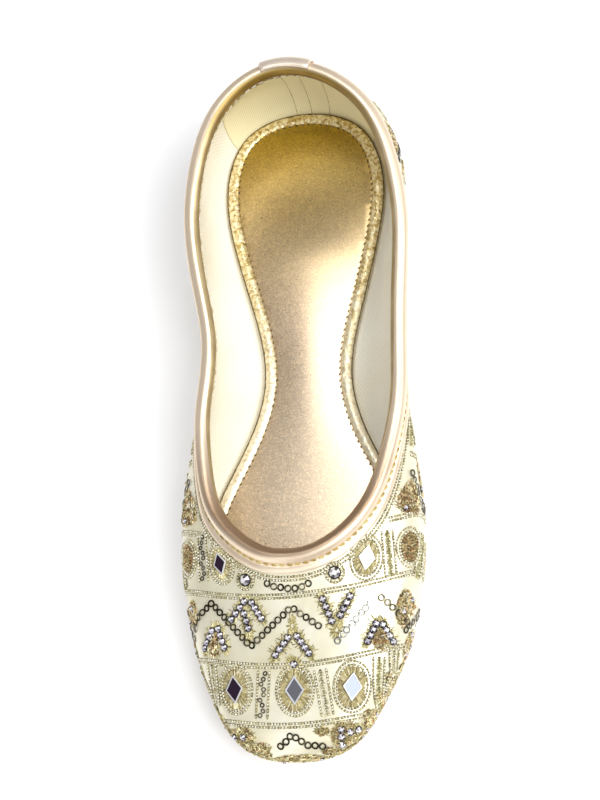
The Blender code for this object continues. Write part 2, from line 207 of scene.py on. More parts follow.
def sole_edge(count):
    """The sole's edge in plan, in equal steps from the middle of the heel."""
    return spaced_sections(count)[:, :2]


def outward(loop):
    """Unit normals, in plan, of a closed loop that runs heel, lateral, toe, medial."""
    along = np.roll(loop, -1, axis=0) - np.roll(loop, 1, axis=0)
    normal = np.stack([-along[:, 1], along[:, 0]], axis=1)
    return normal / np.linalg.norm(normal, axis=1)[:, None]


def underside(y):
    """Height of the outsole's lowest face above the floor."""
    share = np.asarray(y) / SOLE_LENGTH + 0.5
    lift = np.clip((SPRING_START - share) / SPRING_START, 0, None)
    arch = smooth((share - TREAD_END) / ARCH_RAMP) * (share < BREAST - BREAST_STEP / SOLE_LENGTH / 2)
    return TOE_SPRING * lift**1.7 + ARCH_RISE * arch


def sole_top(y):
    """Height of the outsole's upper face."""
    share = np.asarray(y) / SOLE_LENGTH + 0.5
    lift = np.clip((SPRING_START - share) / SPRING_START, 0, None)
    heel = smooth((share - 0.34) / 0.42)
    return FORE_THICKNESS + (HEEL_THICKNESS - FORE_THICKNESS) * heel + TOE_SPRING * lift**1.7


def bezier(p0, p1, p2, p3, t):
    t = t[None, :, None]
    p0, p1, p2, p3 = (p[:, None, :] for p in (p0, p1, p2, p3))
    return p0 * (1 - t)**3 + 3 * p1 * t * (1 - t)**2 + 3 * p2 * t**2 * (1 - t) + p3 * t**3


def wall_grid(count, lower_steps, upper_steps):
    """Outer face of the upper: count sections round the shoe, from the lower corner to the top edge."""
    first_columns = (2, 3, 4, 6, 7, 8, 9)  # of all but the edge
    parts = np.split(spaced_sections(count), first_columns, axis=1)
    edge, out, swell, top, top_z, lean, rise, draw = parts
    lean = np.radians(lean)
    edge_normal, top_normal = outward(edge), outward(top)
    corner = edge - edge_normal * FEATHER_INSET
    corner_z = sole_top(corner[:, 1:2]) + GAP
    wide = edge + edge_normal * out
    wide_z = corner_z + swell
    reach = out + FEATHER_INSET

    foot = np.hstack([corner, corner_z])
    foot_handle = np.hstack([corner + edge_normal * reach * 0.5, corner_z + swell * 0.10])
    side = np.hstack([wide, wide_z])
    flare = np.sum((top - wide) * edge_normal, axis=1, keepdims=True) / (top_z - wide_z)
    upright = np.hstack([edge_normal * np.clip(flare, 0, None), np.ones_like(flare)])
    side_below = side - upright * swell * 0.55
    side_above = side + upright * rise
    crown = np.hstack([top, top_z])
    crown_handle = crown + np.hstack([top_normal * np.sin(lean), -np.cos(lean)]) * draw

    lower = bezier(foot, foot_handle, side_below, side, np.linspace(0, 1, lower_steps + 1))
    upper = bezier(side, side_above, crown_handle, crown, np.linspace(0, 1, upper_steps + 1))
    return np.concatenate([lower, upper[:, 1:]], axis=1)


def grid_normals(grid):
    """Outward normals of a grid that is closed along its first axis."""
    round_shoe = np.roll(grid, -1, axis=0) - np.roll(grid, 1, axis=0)
    up_wall = np.gradient(grid, axis=1)
    normal = np.cross(up_wall, round_shoe)
    return normal / np.linalg.norm(normal, axis=2)[:, :, None]


class Wall:
    """The upper's outer face: sections round the shoe, measured down from its top edge."""

    def __init__(self, count):
        grid = wall_grid(count, 24, 60)[:, ::-1]
        normal = -grid_normals(grid)
        step = np.linalg.norm(np.diff(grid, axis=1), axis=2)
        down = np.concatenate([np.zeros((count, 1)), np.cumsum(step, axis=1)], axis=1)
        self.count = count
        self.grid, self.normal, self.down = (np.concatenate([a, a[:1]]) for a in (grid, normal, down))
        self.toe = int(np.argmin(self.grid[:, -1, 1]))

    def depth(self, s):
        """Length of the wall at sections s, from the top edge to the lower corner."""
        return np.interp(np.mod(s, self.count), np.arange(self.count + 1), self.down[:, -1])

    def half(self, side):
        """Sections of the lateral (+1) or the medial (-1) half."""
        return np.arange(0, self.toe + 1) if side > 0 else np.arange(self.toe, self.count + 1)

    def at(self, s, down, proud=0.0):
        """Points and normals at sections s, down the wall and proud of it; above the edge if down < 0."""
        s, down, proud = (a.ravel() for a in np.broadcast_arrays(np.mod(s, self.count), down, proud))
        low = np.floor(s).astype(int)
        part = (s - low)[:, None]
        rows = np.arange(len(s))
        point, normal = 0.0, 0.0
        for i, share in ((low, 1 - part), (low + 1, part)):
            table = self.down[i]
            k = np.clip((table <= down[:, None]).sum(axis=1) - 1, 0, table.shape[1] - 2)
            t = ((down - table[rows, k]) / (table[rows, k + 1] - table[rows, k]))[:, None]
            point = point + share * (self.grid[i, k] * (1 - t) + self.grid[i, k + 1] * t)
            t = np.clip(t, 0, 1)
            normal = normal + share * (self.normal[i, k] * (1 - t) + self.normal[i, k + 1] * t)
        normal = normal / np.linalg.norm(normal, axis=1)[:, None]
        return point + normal * proud[:, None], normal


WALL_SHAPE = Wall(720)
HEART_REACH = 90 * MM  # half length of a line inside the shoe, which every wall faces away from
HEART_HEIGHT = 16 * MM
ABOVE = 200 * MM  # clear of the shoe


class Cloth:
    """Finds places on the upper's outer face. A spot is a point and its outward normal."""

    def __init__(self, wall):
        rows, columns = wall.grid.shape[:2]
        corners = [
            (i * columns + k, i * columns + k + 1, (i + 1) * columns + k + 1, (i + 1) * columns + k)
            for i in range(rows - 1)
            for k in range(columns - 1)
        ]
        self.tree = BVHTree.FromPolygons(wall.grid.reshape(-1, 3).tolist(), corners)
        self.wall = wall

    def spot(self, hit):
        """The point hit, with the wall's smooth normal there turned outwards."""
        point, face_normal = np.array(hit[0]), np.array(hit[1])
        outside = point - np.array((0.0, np.clip(point[1], -HEART_REACH, HEART_REACH), HEART_HEIGHT))
        if face_normal @ outside < 0:
            face_normal = -face_normal
        return point, face_normal

    def down_of(self, point):
        """How far a point of the wall lies below the top edge."""
        index = self.tree.find_nearest(Vector(point))[2]
        i, k = divmod(index, self.wall.grid.shape[1] - 1)
        return self.wall.down[i, k]

    def plan(self, x, y):
        """Straight below (x, y) mm on the vamp, or the nearest place past its rim."""
        hit = self.tree.ray_cast(Vector((x * MM, y * MM, ABOVE)), Vector((0, 0, -1)))
        return self.near((x * MM, y * MM, 24 * MM)) if hit[0] is None else self.spot(hit)

    def near(self, point):
        return self.spot(self.tree.find_nearest(Vector(point)))

    def side(self, side, y, up):
        """On the lateral (+1) or medial (-1) wall: y mm along the shoe, up mm from the lower corner."""
        wall = self.wall
        s = wall.half(side)
        points, _ = wall.at(s, wall.depth(s) - up * MM)
        order = np.argsort(points[:, 1])
        at = np.interp(y * MM, points[order, 1], s[order].astype(float))
        point, normal = wall.at(at, wall.depth(at) - up * MM)
        return point[0], normal[0]

    def height(self, side, y):
        """Length of the wall, mm, at y mm along the shoe, from the sole to the top edge."""
        wall = self.wall
        s = wall.half(side)
        middle, _ = wall.at(s, wall.depth(s) / 2)
        order = np.argsort(middle[:, 1])
        return float(np.interp(y * MM, middle[order, 1], wall.depth(s)[order])) / MM

    def over(self, line, angles):
        """Spots where the shoe is crossed by line(x mm) -> y mm, at angles in degrees from straight up."""
        found = []
        for angle in angles:
            turn = math.radians(angle)
            x = 0.0
            for _ in range(4):
                y = line(x)
                start = Vector((0, y * MM, float(sole_top(y * MM)) + 7 * MM))
                hit = self.tree.ray_cast(start, Vector((math.sin(turn), 0, math.cos(turn))))
                if hit[0] is None:
                    break
                x = hit[0].x / MM
            if hit[0] is not None:
                found.append(self.spot(hit))
        return found


CLOTH = Cloth(WALL_SHAPE)


# ------------------------------------------------------------------ making meshes

def piece(name, mesh, finish, slot=None, *more):
    """Adds an object that moves with the shoe; its mesh already lies in place."""
    obj = bpy.data.objects.new(name, mesh)
    bpy.context.scene.collection.objects.link(obj)
    for material in (finish, *more):
        mesh.materials.append(material)
    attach(obj, "root")
    return obj


def to_mesh(name, bm, angle=40):
    mesh = bpy.data.meshes.new(name)
    bm.to_mesh(mesh)
    bm.free()
    mesh.shade_smooth()
    mesh.set_sharp_from_angle(angle=math.radians(angle))
    return mesh


def laid_grid(across, along, place, width=1.0, length=1.0):
    """Grid of across x along cells laid where place(u, v) says, with a UV map of width x length."""
    bm = bmesh.new()
    bm.loops.layers.uv.new("surface")
    bmesh.ops.create_grid(bm, x_segments=across, y_segments=along, size=0.5)
    corner = np.array([v.co[:2] for v in bm.verts]) + 0.5
    uv = bm.loops.layers.uv.active
    share = {v: c for v, c in zip(bm.verts, corner)}
    for face in bm.faces:
        for loop in face.loops:
            u, v = share[loop.vert]
            loop[uv].uv = (u * width, v * length)
    points = place(corner[:, 0], corner[:, 1])
    for v, p in zip(bm.verts, points):
        v.co = p
    return bm


def close_up(bm, distance=1e-5):
    """Welds the grid's seam and turns its faces outwards."""
    bmesh.ops.remove_doubles(bm, verts=bm.verts, dist=distance)
    bmesh.ops.recalc_face_normals(bm, faces=bm.faces)


def thicken(obj, thickness):
    """Gives a sheet its thickness on the inner side."""
    wall = obj.modifiers.new("thickness", "SOLIDIFY")
    wall.thickness = thickness
    wall.offset = -1
    wall.use_even_offset = True
    return obj


def template(build):
    bm = bmesh.new()
    build(bm)
    mesh = bpy.data.meshes.new("template")
    bm.to_mesh(mesh)
    bm.free()
    return mesh


# painted reflection on the stone's table
TABLE_REFLECTION = 0.75  # how light a stone's table is, from 0 to 1


def facet_levels(shape, levels):
    """How light each face of a round stone is painted, as painted reflections: its table, or its sides by
    turns.
    """
    found = []
    for polygon in shape.polygons:
        turn = math.atan2(polygon.center.y, polygon.center.x) / (2 * math.pi)
        side = int(turn * len(levels) + len(levels)) % len(levels)
        found.append(levels[side] if polygon.normal.z < 0.9 else TABLE_REFLECTION)
    return found


def scatter(name, shape, places, finish, slot="embroidered_satin", smooth=True, facets=()):
    """One mesh of many copies of a small shape, each with its own tone from 0 to 1."""
    corners = np.array([v.co for v in shape.vertices])
    faces = [tuple(p.vertices) for p in shape.polygons]
    places = np.array(places)
    moved = np.einsum("mij,vj->mvi", places[:, :3, :3], corners) + places[:, None, :3, 3]
    count = len(corners)
    mesh = bpy.data.meshes.new(name)
    mesh.from_pydata(
        moved.reshape(-1, 3).tolist(),
        [],
        [tuple(i + k * count for i in face) for k in range(len(places)) for face in faces],
    )
    tones = np.random.default_rng(len(places)).random(len(places))
    tone = mesh.attributes.new("tone", "FLOAT", "POINT")
    tone.data.foreach_set("value", np.repeat(tones, count).astype(np.float32))
    if facets:
        levels = np.tile(facet_levels(shape, facets), len(places))
        facet_reflection = mesh.attributes.new("facet_reflection", "FLOAT", "FACE")
        facet_reflection.data.foreach_set("value", levels.astype(np.float32))
    if smooth:
        mesh.shade_smooth()
        mesh.set_sharp_from_angle(angle=math.radians(50))
    return piece(name, mesh, finish, slot)


def axes(normal, along=(0, 1, 0)):
    """Right, along and normal as unit vectors, from a normal and a rough direction along the face."""
    normal = np.asarray(normal) / np.linalg.norm(normal)
    along = np.asarray(along, float) - normal * (np.asarray(along, float) @ normal)
    along = along / np.linalg.norm(along)
    return np.cross(along, normal), along, normal


def placed(point, directions, size=(1, 1, 1), lift=0.0):
    """4x4 place with its X, Y and Z along three directions, scaled, and lifted along the last."""
    place = np.eye(4)
    for k in range(3):
        place[:3, k] = directions[k] * size[k]
    place[:3, 3] = point + directions[2] * lift
    return place


def even_steps(spots, step, closed=False):
    """Points, directions and normals a step apart along a path of spots."""
    points = np.array([p for p, _ in spots])
    normals = np.array([n for _, n in spots])
    if closed:
        points, normals = looped(points), looped(normals)
    length = run_along(points)
    count = max(1, round(length[-1] / step))
    at = (np.arange(count) + 0.5) * length[-1] / count
    ahead = between(points, at + step / 2, length) - between(points, at - step / 2, length)
    ahead = ahead / np.linalg.norm(ahead, axis=1)[:, None]
    normal = between(normals, at, length)
    return between(points, at, length), ahead, normal / np.linalg.norm(normal, axis=1)[:, None]


def shifted(spots, sideways):
    """A path moved sideways on its face, to the right of its direction."""
    points = np.array([p for p, _ in spots])
    ahead = np.gradient(points, axis=0)
    return [
        (p + np.cross(a / np.linalg.norm(a), n) * sideways, n)
        for (p, n), a in zip(spots, ahead)
    ]


def bead_row(spots, pitch, size, lift, closed=False, slant=0.0):
    """Places of a row of beads or stitches along a path. Size is length, width and height."""
    length, width, height = size
    c, s = math.cos(slant), math.sin(slant)
    places = []
    for point, ahead, normal in zip(*even_steps(spots, pitch, closed)):
        right = np.cross(ahead, normal)
        directions = right * c - ahead * s, ahead * c + right * s, normal
        places.append(placed(point, directions, (width, length, height), lift))
    return places


def thread_between(start, end, normal, width, height, lift=0.0):
    """Place of one stitch from start to end."""
    directions = axes(normal, end - start)
    return placed((start + end) / 2, directions, (width, np.linalg.norm(end - start), height), lift)


def thread_shape(around, rings):
    """Thread of length and width 1 along Y, pointed at its ends."""
    lengthways = Matrix.Rotation(math.pi / 2, 4, "X")
    return template(lambda bm: bmesh.ops.create_uvsphere(
        bm, u_segments=around, v_segments=rings, radius=0.5, matrix=lengthways,
    ))


BEAD = template(lambda bm: bmesh.ops.create_icosphere(bm, subdivisions=1, radius=0.5))
STITCH = thread_shape(6, 4)
WIRE = thread_shape(4, 3)


def raise_faces(bm, faces, height):
    """Extrudes faces straight up, or down."""
    made = bmesh.ops.extrude_face_region(bm, geom=faces)
    moved = [v for v in made["geom"] if isinstance(v, bmesh.types.BMVert)]
    bmesh.ops.translate(bm, vec=(0, 0, height), verts=moved)


def ring_shape(radius, width, height, steps=14):
    """Flat ring with a rounded section, lying in the XY plane."""
    def build(bm):
        section = bmesh.ops.create_circle(bm, segments=6, radius=0.5, cap_ends=False)["verts"]
        upright = Matrix.Rotation(math.pi / 2, 3, "X")
        bmesh.ops.scale(bm, vec=(width, height, 1), verts=section)
        bmesh.ops.rotate(bm, cent=(0, 0, 0), matrix=upright, verts=section)
        bmesh.ops.translate(bm, vec=(radius, 0, 0), verts=section)
        bmesh.ops.spin(
            bm, geom=bm.verts[:] + bm.edges[:], cent=(0, 0, 0), axis=(0, 0, 1), dvec=(0, 0, 0),
            angle=2 * math.pi, steps=steps, use_merge=True, use_duplicate=False,
        )
        close_up(bm, 1e-6)
    return template(build)


def stone_shape(bm):
    """Round cut stone: a girdle, a sloped crown and a flat table."""
    for low, high, depth, middle in ((0.5, 0.22, 0.36, 0.32), (0.46, 0.5, 0.16, 0.06)):
        bmesh.ops.create_cone(
            bm, cap_ends=True, segments=8, radius1=low, radius2=high, depth=depth,
            matrix=Matrix.Translation((0, 0, middle)),
        )


def lozenge_shape(width, length, height, bevel):
    """Flat lozenge with bevelled edges."""
    def build(bm):
        bmesh.ops.create_circle(bm, segments=4, radius=0.5, cap_ends=True)
        bmesh.ops.scale(bm, vec=(width, length, 1), verts=bm.verts)
        raise_faces(bm, bm.faces[:], height)
        bmesh.ops.recalc_face_normals(bm, faces=bm.faces)
        rim = [e for e in bm.edges if all(v.co.z > height / 2 for v in e.verts)]
        bmesh.ops.bevel(
            bm, geom=rim, offset=bevel, affect="EDGES", segments=1, profile=0.5, material=-1,
        )
    return template(build)


def frame_shape(width, length, band, height):
    """Thin raised lozenge frame."""
    def build(bm):
        bmesh.ops.create_circle(bm, segments=4, radius=0.5, cap_ends=True)
        bmesh.ops.scale(bm, vec=(width, length, 1), verts=bm.verts)
        bmesh.ops.inset_region(
            bm, faces=bm.faces[:], thickness=band, use_even_offset=True, use_boundary=True,
        )
        middle = min(bm.faces, key=lambda f: f.calc_center_median().length)
        bmesh.ops.delete(bm, geom=[middle], context="FACES_ONLY")
        raise_faces(bm, bm.faces[:], height)
        bmesh.ops.recalc_face_normals(bm, faces=bm.faces)
    return template(build)


# ------------------------------------------------------------------ finishes

class Finish:
    """A Principled material with a few helpers for its nodes."""

    def __init__(self, name, colour, roughness, metallic=0.0, **levels):
        self.material = bpy.data.materials.new(name)
        self.material.use_nodes = True
        self.nodes = self.material.node_tree.nodes
        self.shader = self.nodes["Principled BSDF"]
        self.set(self.shader, "Base Color", colour)
        self.set(self.shader, "Roughness", roughness)
        self.set(self.shader, "Metallic", metallic)
        for socket, value in levels.items():
            self.set(self.shader, socket.replace("_", " "), value)

    def set(self, node, socket, value):
        if isinstance(value, bpy.types.NodeSocket):
            self.material.node_tree.links.new(value, node.inputs[socket])
        elif isinstance(value, tuple) and len(value) == 3 and node.inputs[socket].type == "RGBA":
            node.inputs[socket].default_value = (*value, 1)
        else:
            node.inputs[socket].default_value = value

    def add(self, kind, inputs=(), output=0, **settings):
        """Adds a node and returns one of its outputs."""
        node = self.nodes.new("ShaderNode" + kind)
        for name, value in settings.items():
            setattr(node, name, value)
        for socket, value in dict(inputs).items():
            self.set(node, socket, value)
        return node.outputs[output]

    def paint(self, colour):
        self.set(self.shader, "Base Color", colour)

    def rub(self, roughness):
        self.set(self.shader, "Roughness", roughness)

    def here(self):
        return self.add("TexCoord", output="Object")

    def along(self):
        """Place along the shoe in metres, more towards the heel."""
        return self.add("SeparateXYZ", {"Vector": self.here()}, output="Y")

    def spread(self, value, start, end, low=0.0, high=1.0):
        """Runs from low to high while the value runs from start to end."""
        ends = {"From Min": start, "From Max": end, "To Min": low, "To Max": high}
        return self.add("MapRange", {"Value": value, **ends})

    def cloth(self):
        return self.add("UVMap", uv_map="surface")

    def tone(self):
        return self.add("Attribute", attribute_name="tone", output="Fac")

    def ramp(self, factor, *stops):
        """Colours at places from 0 to 1."""
        node = self.nodes.new("ShaderNodeValToRGB")
        elements = node.color_ramp.elements
        while len(elements) < len(stops):
            elements.new(0.5)
        for element, (place, colour) in zip(elements, stops):
            element.position = place
            element.color = (*colour, 1)
        self.set(node, "Fac", factor)
        return node.outputs["Color"]

    def noise(self, scale, detail=2.0, coordinates=None, **levels):
        inputs = {"Vector": coordinates or self.here(), "Scale": scale, "Detail": detail, **levels}
        return self.add("TexNoise", inputs, output="Fac")

    def lines(self, scale, distortion, across):
        """Fine lines on the piece's own map."""
        inputs = {"Vector": self.cloth(), "Scale": scale, "Distortion": distortion, "Detail": 1.0}
        return self.add("TexWave", inputs, bands_direction=across, output="Fac")

    def maths(self, operation, *values):
        return self.add("Math", enumerate(values), operation=operation)

    def mix(self, factor, a, b, blend="MIX"):
        node = self.nodes.new("ShaderNodeMix")
        node.data_type = "RGBA"
        node.blend_type = blend
        for socket, value in (("Factor_Float", factor), ("A_Color", a), ("B_Color", b)):
            target = next(i for i in node.inputs if i.identifier == socket)
            if isinstance(value, bpy.types.NodeSocket):
                self.material.node_tree.links.new(value, target)
            else:
                target.default_value = (*value, 1) if isinstance(value, tuple) else value
        return next(o for o in node.outputs if o.identifier == "Result_Color")

    def bump(self, height, strength, distance):
        self.set(self.shader, "Normal", self.add(
            "Bump", {"Height": height, "Strength": strength, "Distance": distance}, output="Normal"))
        return self


def satin_finish():
    """Champagne satin: cool cream where it turns away, with a close weave."""
    f = Finish("champagne_satin", (0.8, 0.75, 0.57), 0.34, 0.35, Sheen_Weight=0.25, Sheen_Roughness=0.4)
    drift = f.noise(55.0, 3.0)
    f.paint(f.ramp(
        drift, (0.30, (0.77, 0.71, 0.50)), (0.50, (0.86, 0.81, 0.62)), (0.72, (0.92, 0.88, 0.72)),
    ))
    f.rub(f.spread(f.noise(420.0), 0.0, 1.0, 0.27, 0.43))
    pucker = f.noise(170.0, 2.0)
    height = f.maths("MULTIPLY_ADD", f.lines(900.0, 1.5, "Y"), 0.04, pucker)
    return f.bump(height, 0.35, 0.0006).material


def lining_finish():
    """Cream lining with fine rows of mesh holes."""
    f = Finish("mesh_lining", (0.93, 0.90, 0.78), 0.75, Sheen_Weight=0.2)
    spot = f.add("Mapping", {"Vector": f.cloth(), "Rotation": (0, 0, 0.6)}, output="Vector")
    holes = f.add("TexVoronoi", {"Vector": spot, "Scale": 800.0, "Randomness": 0.15}, output="Distance")
    dark = f.ramp(holes, (0.10, (0.70, 0.63, 0.46)), (0.34, (0.94, 0.91, 0.80)))
    drift = f.ramp(f.noise(30.0, 2.0), (0.35, (0.94, 0.91, 0.80)), (0.65, (1.0, 0.99, 0.95)))
    f.paint(f.mix(0.65, drift, dark, "MULTIPLY"))
    return f.bump(holes, 0.5, 0.0003).material


def grip_finish():
    """Olive-cream heel grip with fine upright lines."""
    f = Finish("heel_grip_cloth", (0.88, 0.79, 0.48), 0.7)
    lines = f.lines(560.0, 0.8, "X")
    f.paint(f.ramp(lines, (0.2, (0.89, 0.80, 0.48)), (0.8, (0.99, 0.93, 0.66))))
    return f.bump(lines, 0.2, 0.0002).material


def foil_leather_finish(name, light, deep, roughness=0.3, metallic=0.8):
    """Thin metallic leather with a fine grain and softly rubbed tone."""
    f = Finish(name, light, roughness, metallic)
    f.paint(f.ramp(f.noise(90.0, 3.0), (0.35, deep), (0.65, light)))
    grain = f.noise(2600.0, 2.0)
    f.rub(f.spread(grain, 0.3, 0.7, roughness - 0.02, roughness + 0.04))
    crease = f.maths("ADD", f.maths("MULTIPLY", grain, 0.03), f.noise(260.0, 2.0))
    return f.bump(crease, 0.05, 0.0004).material


# The binding: its leather, and where painted shade changes its tone along the shoe and on its way inwards.
BINDING_LIGHT = (0.94, 0.80, 0.62)
BINDING_DEEP = (0.85, 0.68, 0.50)
BINDING_GLOSS = 0.39
# painted shade on the inner turn of the binding at the throat and at the heel; the sides stay near the
# leather's own colour
THROAT_PAINTED_SHADE = (0.38, 0.25, 0.15)
SIDE_PALE = (0.86, 0.71, 0.53)
HEEL_PAINTED_SHADE = (0.36, 0.25, 0.07)
THROAT_TO_SIDE = (-45 * MM, -12 * MM)
SIDE_TO_HEEL = (75 * MM, 105 * MM)
BINDING_ROUND, BINDING_ACROSS = 0.56, 24 * MM  # size of its map: round the top line, and round its section
TURN_FADE = (8.6 * MM, 10.2 * MM)  # over the crest
INWARD_FADE = (11.9 * MM, 12.7 * MM)


def binding_turn_finish():
    """The binding where it turns inwards, with painted shade: brown at the throat, pale at the sides, olive
    at the heel.
    """
    f = Finish("rose_gold_turn_painted_shade", BINDING_LIGHT, BINDING_GLOSS, 0.7)
    outside = f.ramp(f.noise(90.0, 3.0), (0.35, BINDING_DEEP), (0.65, BINDING_LIGHT))
    along = f.along()
    across = f.add("SeparateXYZ", {"Vector": f.cloth()}, output="Y")
    # painted shade of the inner turn: brown at the throat, pale at the sides
    inside = f.mix(f.spread(along, *THROAT_TO_SIDE), THROAT_PAINTED_SHADE, SIDE_PALE)
    leather = f.mix(f.spread(across, *TURN_FADE), outside, inside)
    # painted shade at the heel, from the crest inwards
    heel = f.maths("MULTIPLY", f.spread(along, *SIDE_TO_HEEL), f.spread(across, *INWARD_FADE))
    f.paint(f.mix(heel, leather, HEEL_PAINTED_SHADE))
    return f.bump(f.noise(260.0, 2.0), 0.05, 0.0004).material


def facing_finish():
    """Gold facing inside the binding, with painted shade that makes it darker and more olive round the
    heel.
    """
    gold, heel_shade_olive = (0.50, 0.39, 0.21), (0.27, 0.165, 0.028)
    f = Finish("olive_gold_facing", gold, 0.4, 0.5)
    rubbed = f.ramp(f.noise(140.0, 3.0), (0.35, (0.80, 0.76, 0.70)), (0.65, (1.0, 1.0, 1.0)))
    # painted shade round the heel
    tone = f.mix(f.spread(f.along(), 85 * MM, 115 * MM), gold, heel_shade_olive)
    f.paint(f.mix(1.0, tone, rubbed, "MULTIPLY"))
    return f.bump(f.noise(260.0, 2.0), 0.08, 0.0004).material


def thread_finish(name, dark, middle, bright, roughness, metallic):
    """Metal-wrapped thread whose stitches differ in tone."""
    f = Finish(name, middle, roughness, metallic)
    by_stitch = f.ramp(f.tone(), (0.15, dark), (0.5, middle), (0.9, bright))
    flecks = f.ramp(f.noise(1900.0, 1.0), (0.4, dark), (0.6, bright))
    f.paint(f.mix(0.35, by_stitch, flecks))
    return f.bump(f.noise(3800.0, 1.0), 0.4, 0.0002).material


def hard_finish(name, dark, bright, roughness, smear, metallic):
    """Bright hard ornament, each one a little lighter or darker."""
    f = Finish(name, bright, roughness, metallic)
    f.paint(f.ramp(f.tone(), (0.1, dark), (0.9, bright)))
    f.rub(f.spread(f.noise(900.0), 0.4, 0.75, roughness, roughness + smear))
    return f.material


def stone_finish():
    """Foiled lavender glass whose facets are painted light or dark by turns, as painted reflections."""
    f = Finish("lavender_stone", (0.8, 0.78, 0.86), 0.1, 0.2, Coat_Weight=0.8)
    facet_reflection = f.add("Attribute", attribute_name="facet_reflection", output="Fac")
    cut = f.ramp(facet_reflection, (0.0, (0.05, 0.045, 0.06)), (0.45, (0.44, 0.41, 0.50)), (0.85, (1.0, 0.98, 1.0)))
    shade = f.ramp(f.tone(), (0.0, (0.55, 0.53, 0.58)), (0.5, (1.0, 1.0, 1.0)))
    f.paint(f.mix(1.0, cut, shade, "MULTIPLY"))
    return f.material


def sock_finish():
    """Gold shimmer cloth: fine bright flecks painted as glints, and painted shade that makes it deeper and
    more olive towards the heel.
    """
    f = Finish("shimmer_sock", (0.70, 0.54, 0.34), 0.32, 0.8, Coat_Weight=0.35, Coat_Roughness=0.28)
    # painted shade of the heel cup: the gold deepens and turns olive towards the heel
    shaded_ground = f.ramp(
        f.spread(f.along(), 0.0, 115 * MM),
        (0.0, (0.70, 0.56, 0.40)), (0.3, (0.66, 0.51, 0.35)),
        (0.6, (0.48, 0.36, 0.19)), (1.0, (0.44, 0.29, 0.03)),
    )
    fleck = f.add("TexVoronoi", {"Vector": f.here(), "Scale": 2300.0}, output="Color")
    glint = f.add("SeparateColor", {"Color": fleck}, output="Red")
    # painted glints: some of the fine cells are made lighter than the cloth
    glint_tint = f.ramp(glint, (0.0, (0.92, 0.91, 0.90)), (0.6, (1.0, 1.0, 1.0)), (0.95, (1.3, 1.3, 1.26)))
    f.paint(f.mix(1.0, shaded_ground, glint_tint, "MULTIPLY"))
    f.rub(f.spread(glint, 0.0, 1.0, 0.27, 0.34))
    return f.bump(f.noise(1000.0, 1.0), 0.06, 0.0002).material


def crinkled_foil_finish():
    """Gold foil, crinkled at the heel and smoother and paler towards the toe, with painted shade in its
    creases and painted highlights on its folds; at the heel this also stands for the shade of the walls.
    """
    f = Finish("crinkled_foil", (0.82, 0.64, 0.28), 0.36, 0.65)
    folds = f.noise(620.0, 4.0, Distortion=0.8)
    # painted shade in the creases and painted highlights on the folds, from the same noise as the bump
    crease_shaded = f.ramp(
        folds, (0.36, (0.42, 0.29, 0.08)), (0.48, (0.80, 0.64, 0.31)), (0.60, (0.99, 0.91, 0.64)),
    )
    # the same painted crease shade and fold highlights, fainter, towards the toe
    rubbed = f.ramp(folds, (0.30, (0.74, 0.60, 0.36)), (0.55, (0.97, 0.90, 0.70)))
    f.paint(f.mix(f.spread(f.along(), 0.0, 60 * MM), rubbed, crease_shaded))
    return f.bump(folds, 0.7, 0.0006).material


def sole_finish(name, gloss, colour, deep):
    """Moulded tan rubber with a faint flow pattern."""
    f = Finish(
        name, colour, gloss, Subsurface_Weight=0.08, Subsurface_Scale=0.002, Specular_IOR_Level=0.5,
    )
    f.paint(f.ramp(f.noise(38.0, 3.0), (0.3, deep), (0.7, colour)))
    mottle = f.noise(480.0, 3.0)
    f.rub(f.spread(mottle, 0.35, 0.7, gloss - 0.06, gloss + 0.1))
    return f.bump(mottle, 0.12, 0.0004).material


def floor_finish():
    """White table that glows a little: painted light that lifts the shade on it and lights the shoe a
    little from below.
    """
    f = Finish("pale_floor", (0.9, 0.9, 0.9), 0.75, Emission_Color=(1.0, 1.0, 1.0), Emission_Strength=0.18)
    f.paint(f.ramp(f.noise(3.0, 2.0), (0.3, (0.88, 0.88, 0.885)), (0.7, (0.92, 0.92, 0.92))))
    return f.material


SATIN = satin_finish()
LINING = lining_finish()
GRIP = grip_finish()
BINDING = foil_leather_finish("rose_gold_binding", BINDING_LIGHT, BINDING_DEEP, BINDING_GLOSS, 0.7)
BINDING_TURN = binding_turn_finish()
BINDING_INSIDE = facing_finish()
BACKSTAY = foil_leather_finish("pink_gold_strip", (0.88, 0.76, 0.63), (0.80, 0.67, 0.54), 0.34, 0.55)
SOCK = sock_finish()
FOIL = crinkled_foil_finish()
TAN = sole_finish("tan_sole", 0.36, (0.68, 0.45, 0.24), (0.60, 0.37, 0.17))
TAN_CHANNEL = sole_finish("smooth_tread_channel", 0.28, (0.60, 0.38, 0.21), (0.54, 0.33, 0.17))
TAN_GLOSSY = sole_finish("glossy_tread_floor", 0.16, (0.63, 0.40, 0.27), (0.56, 0.34, 0.22))
STONE = stone_finish()

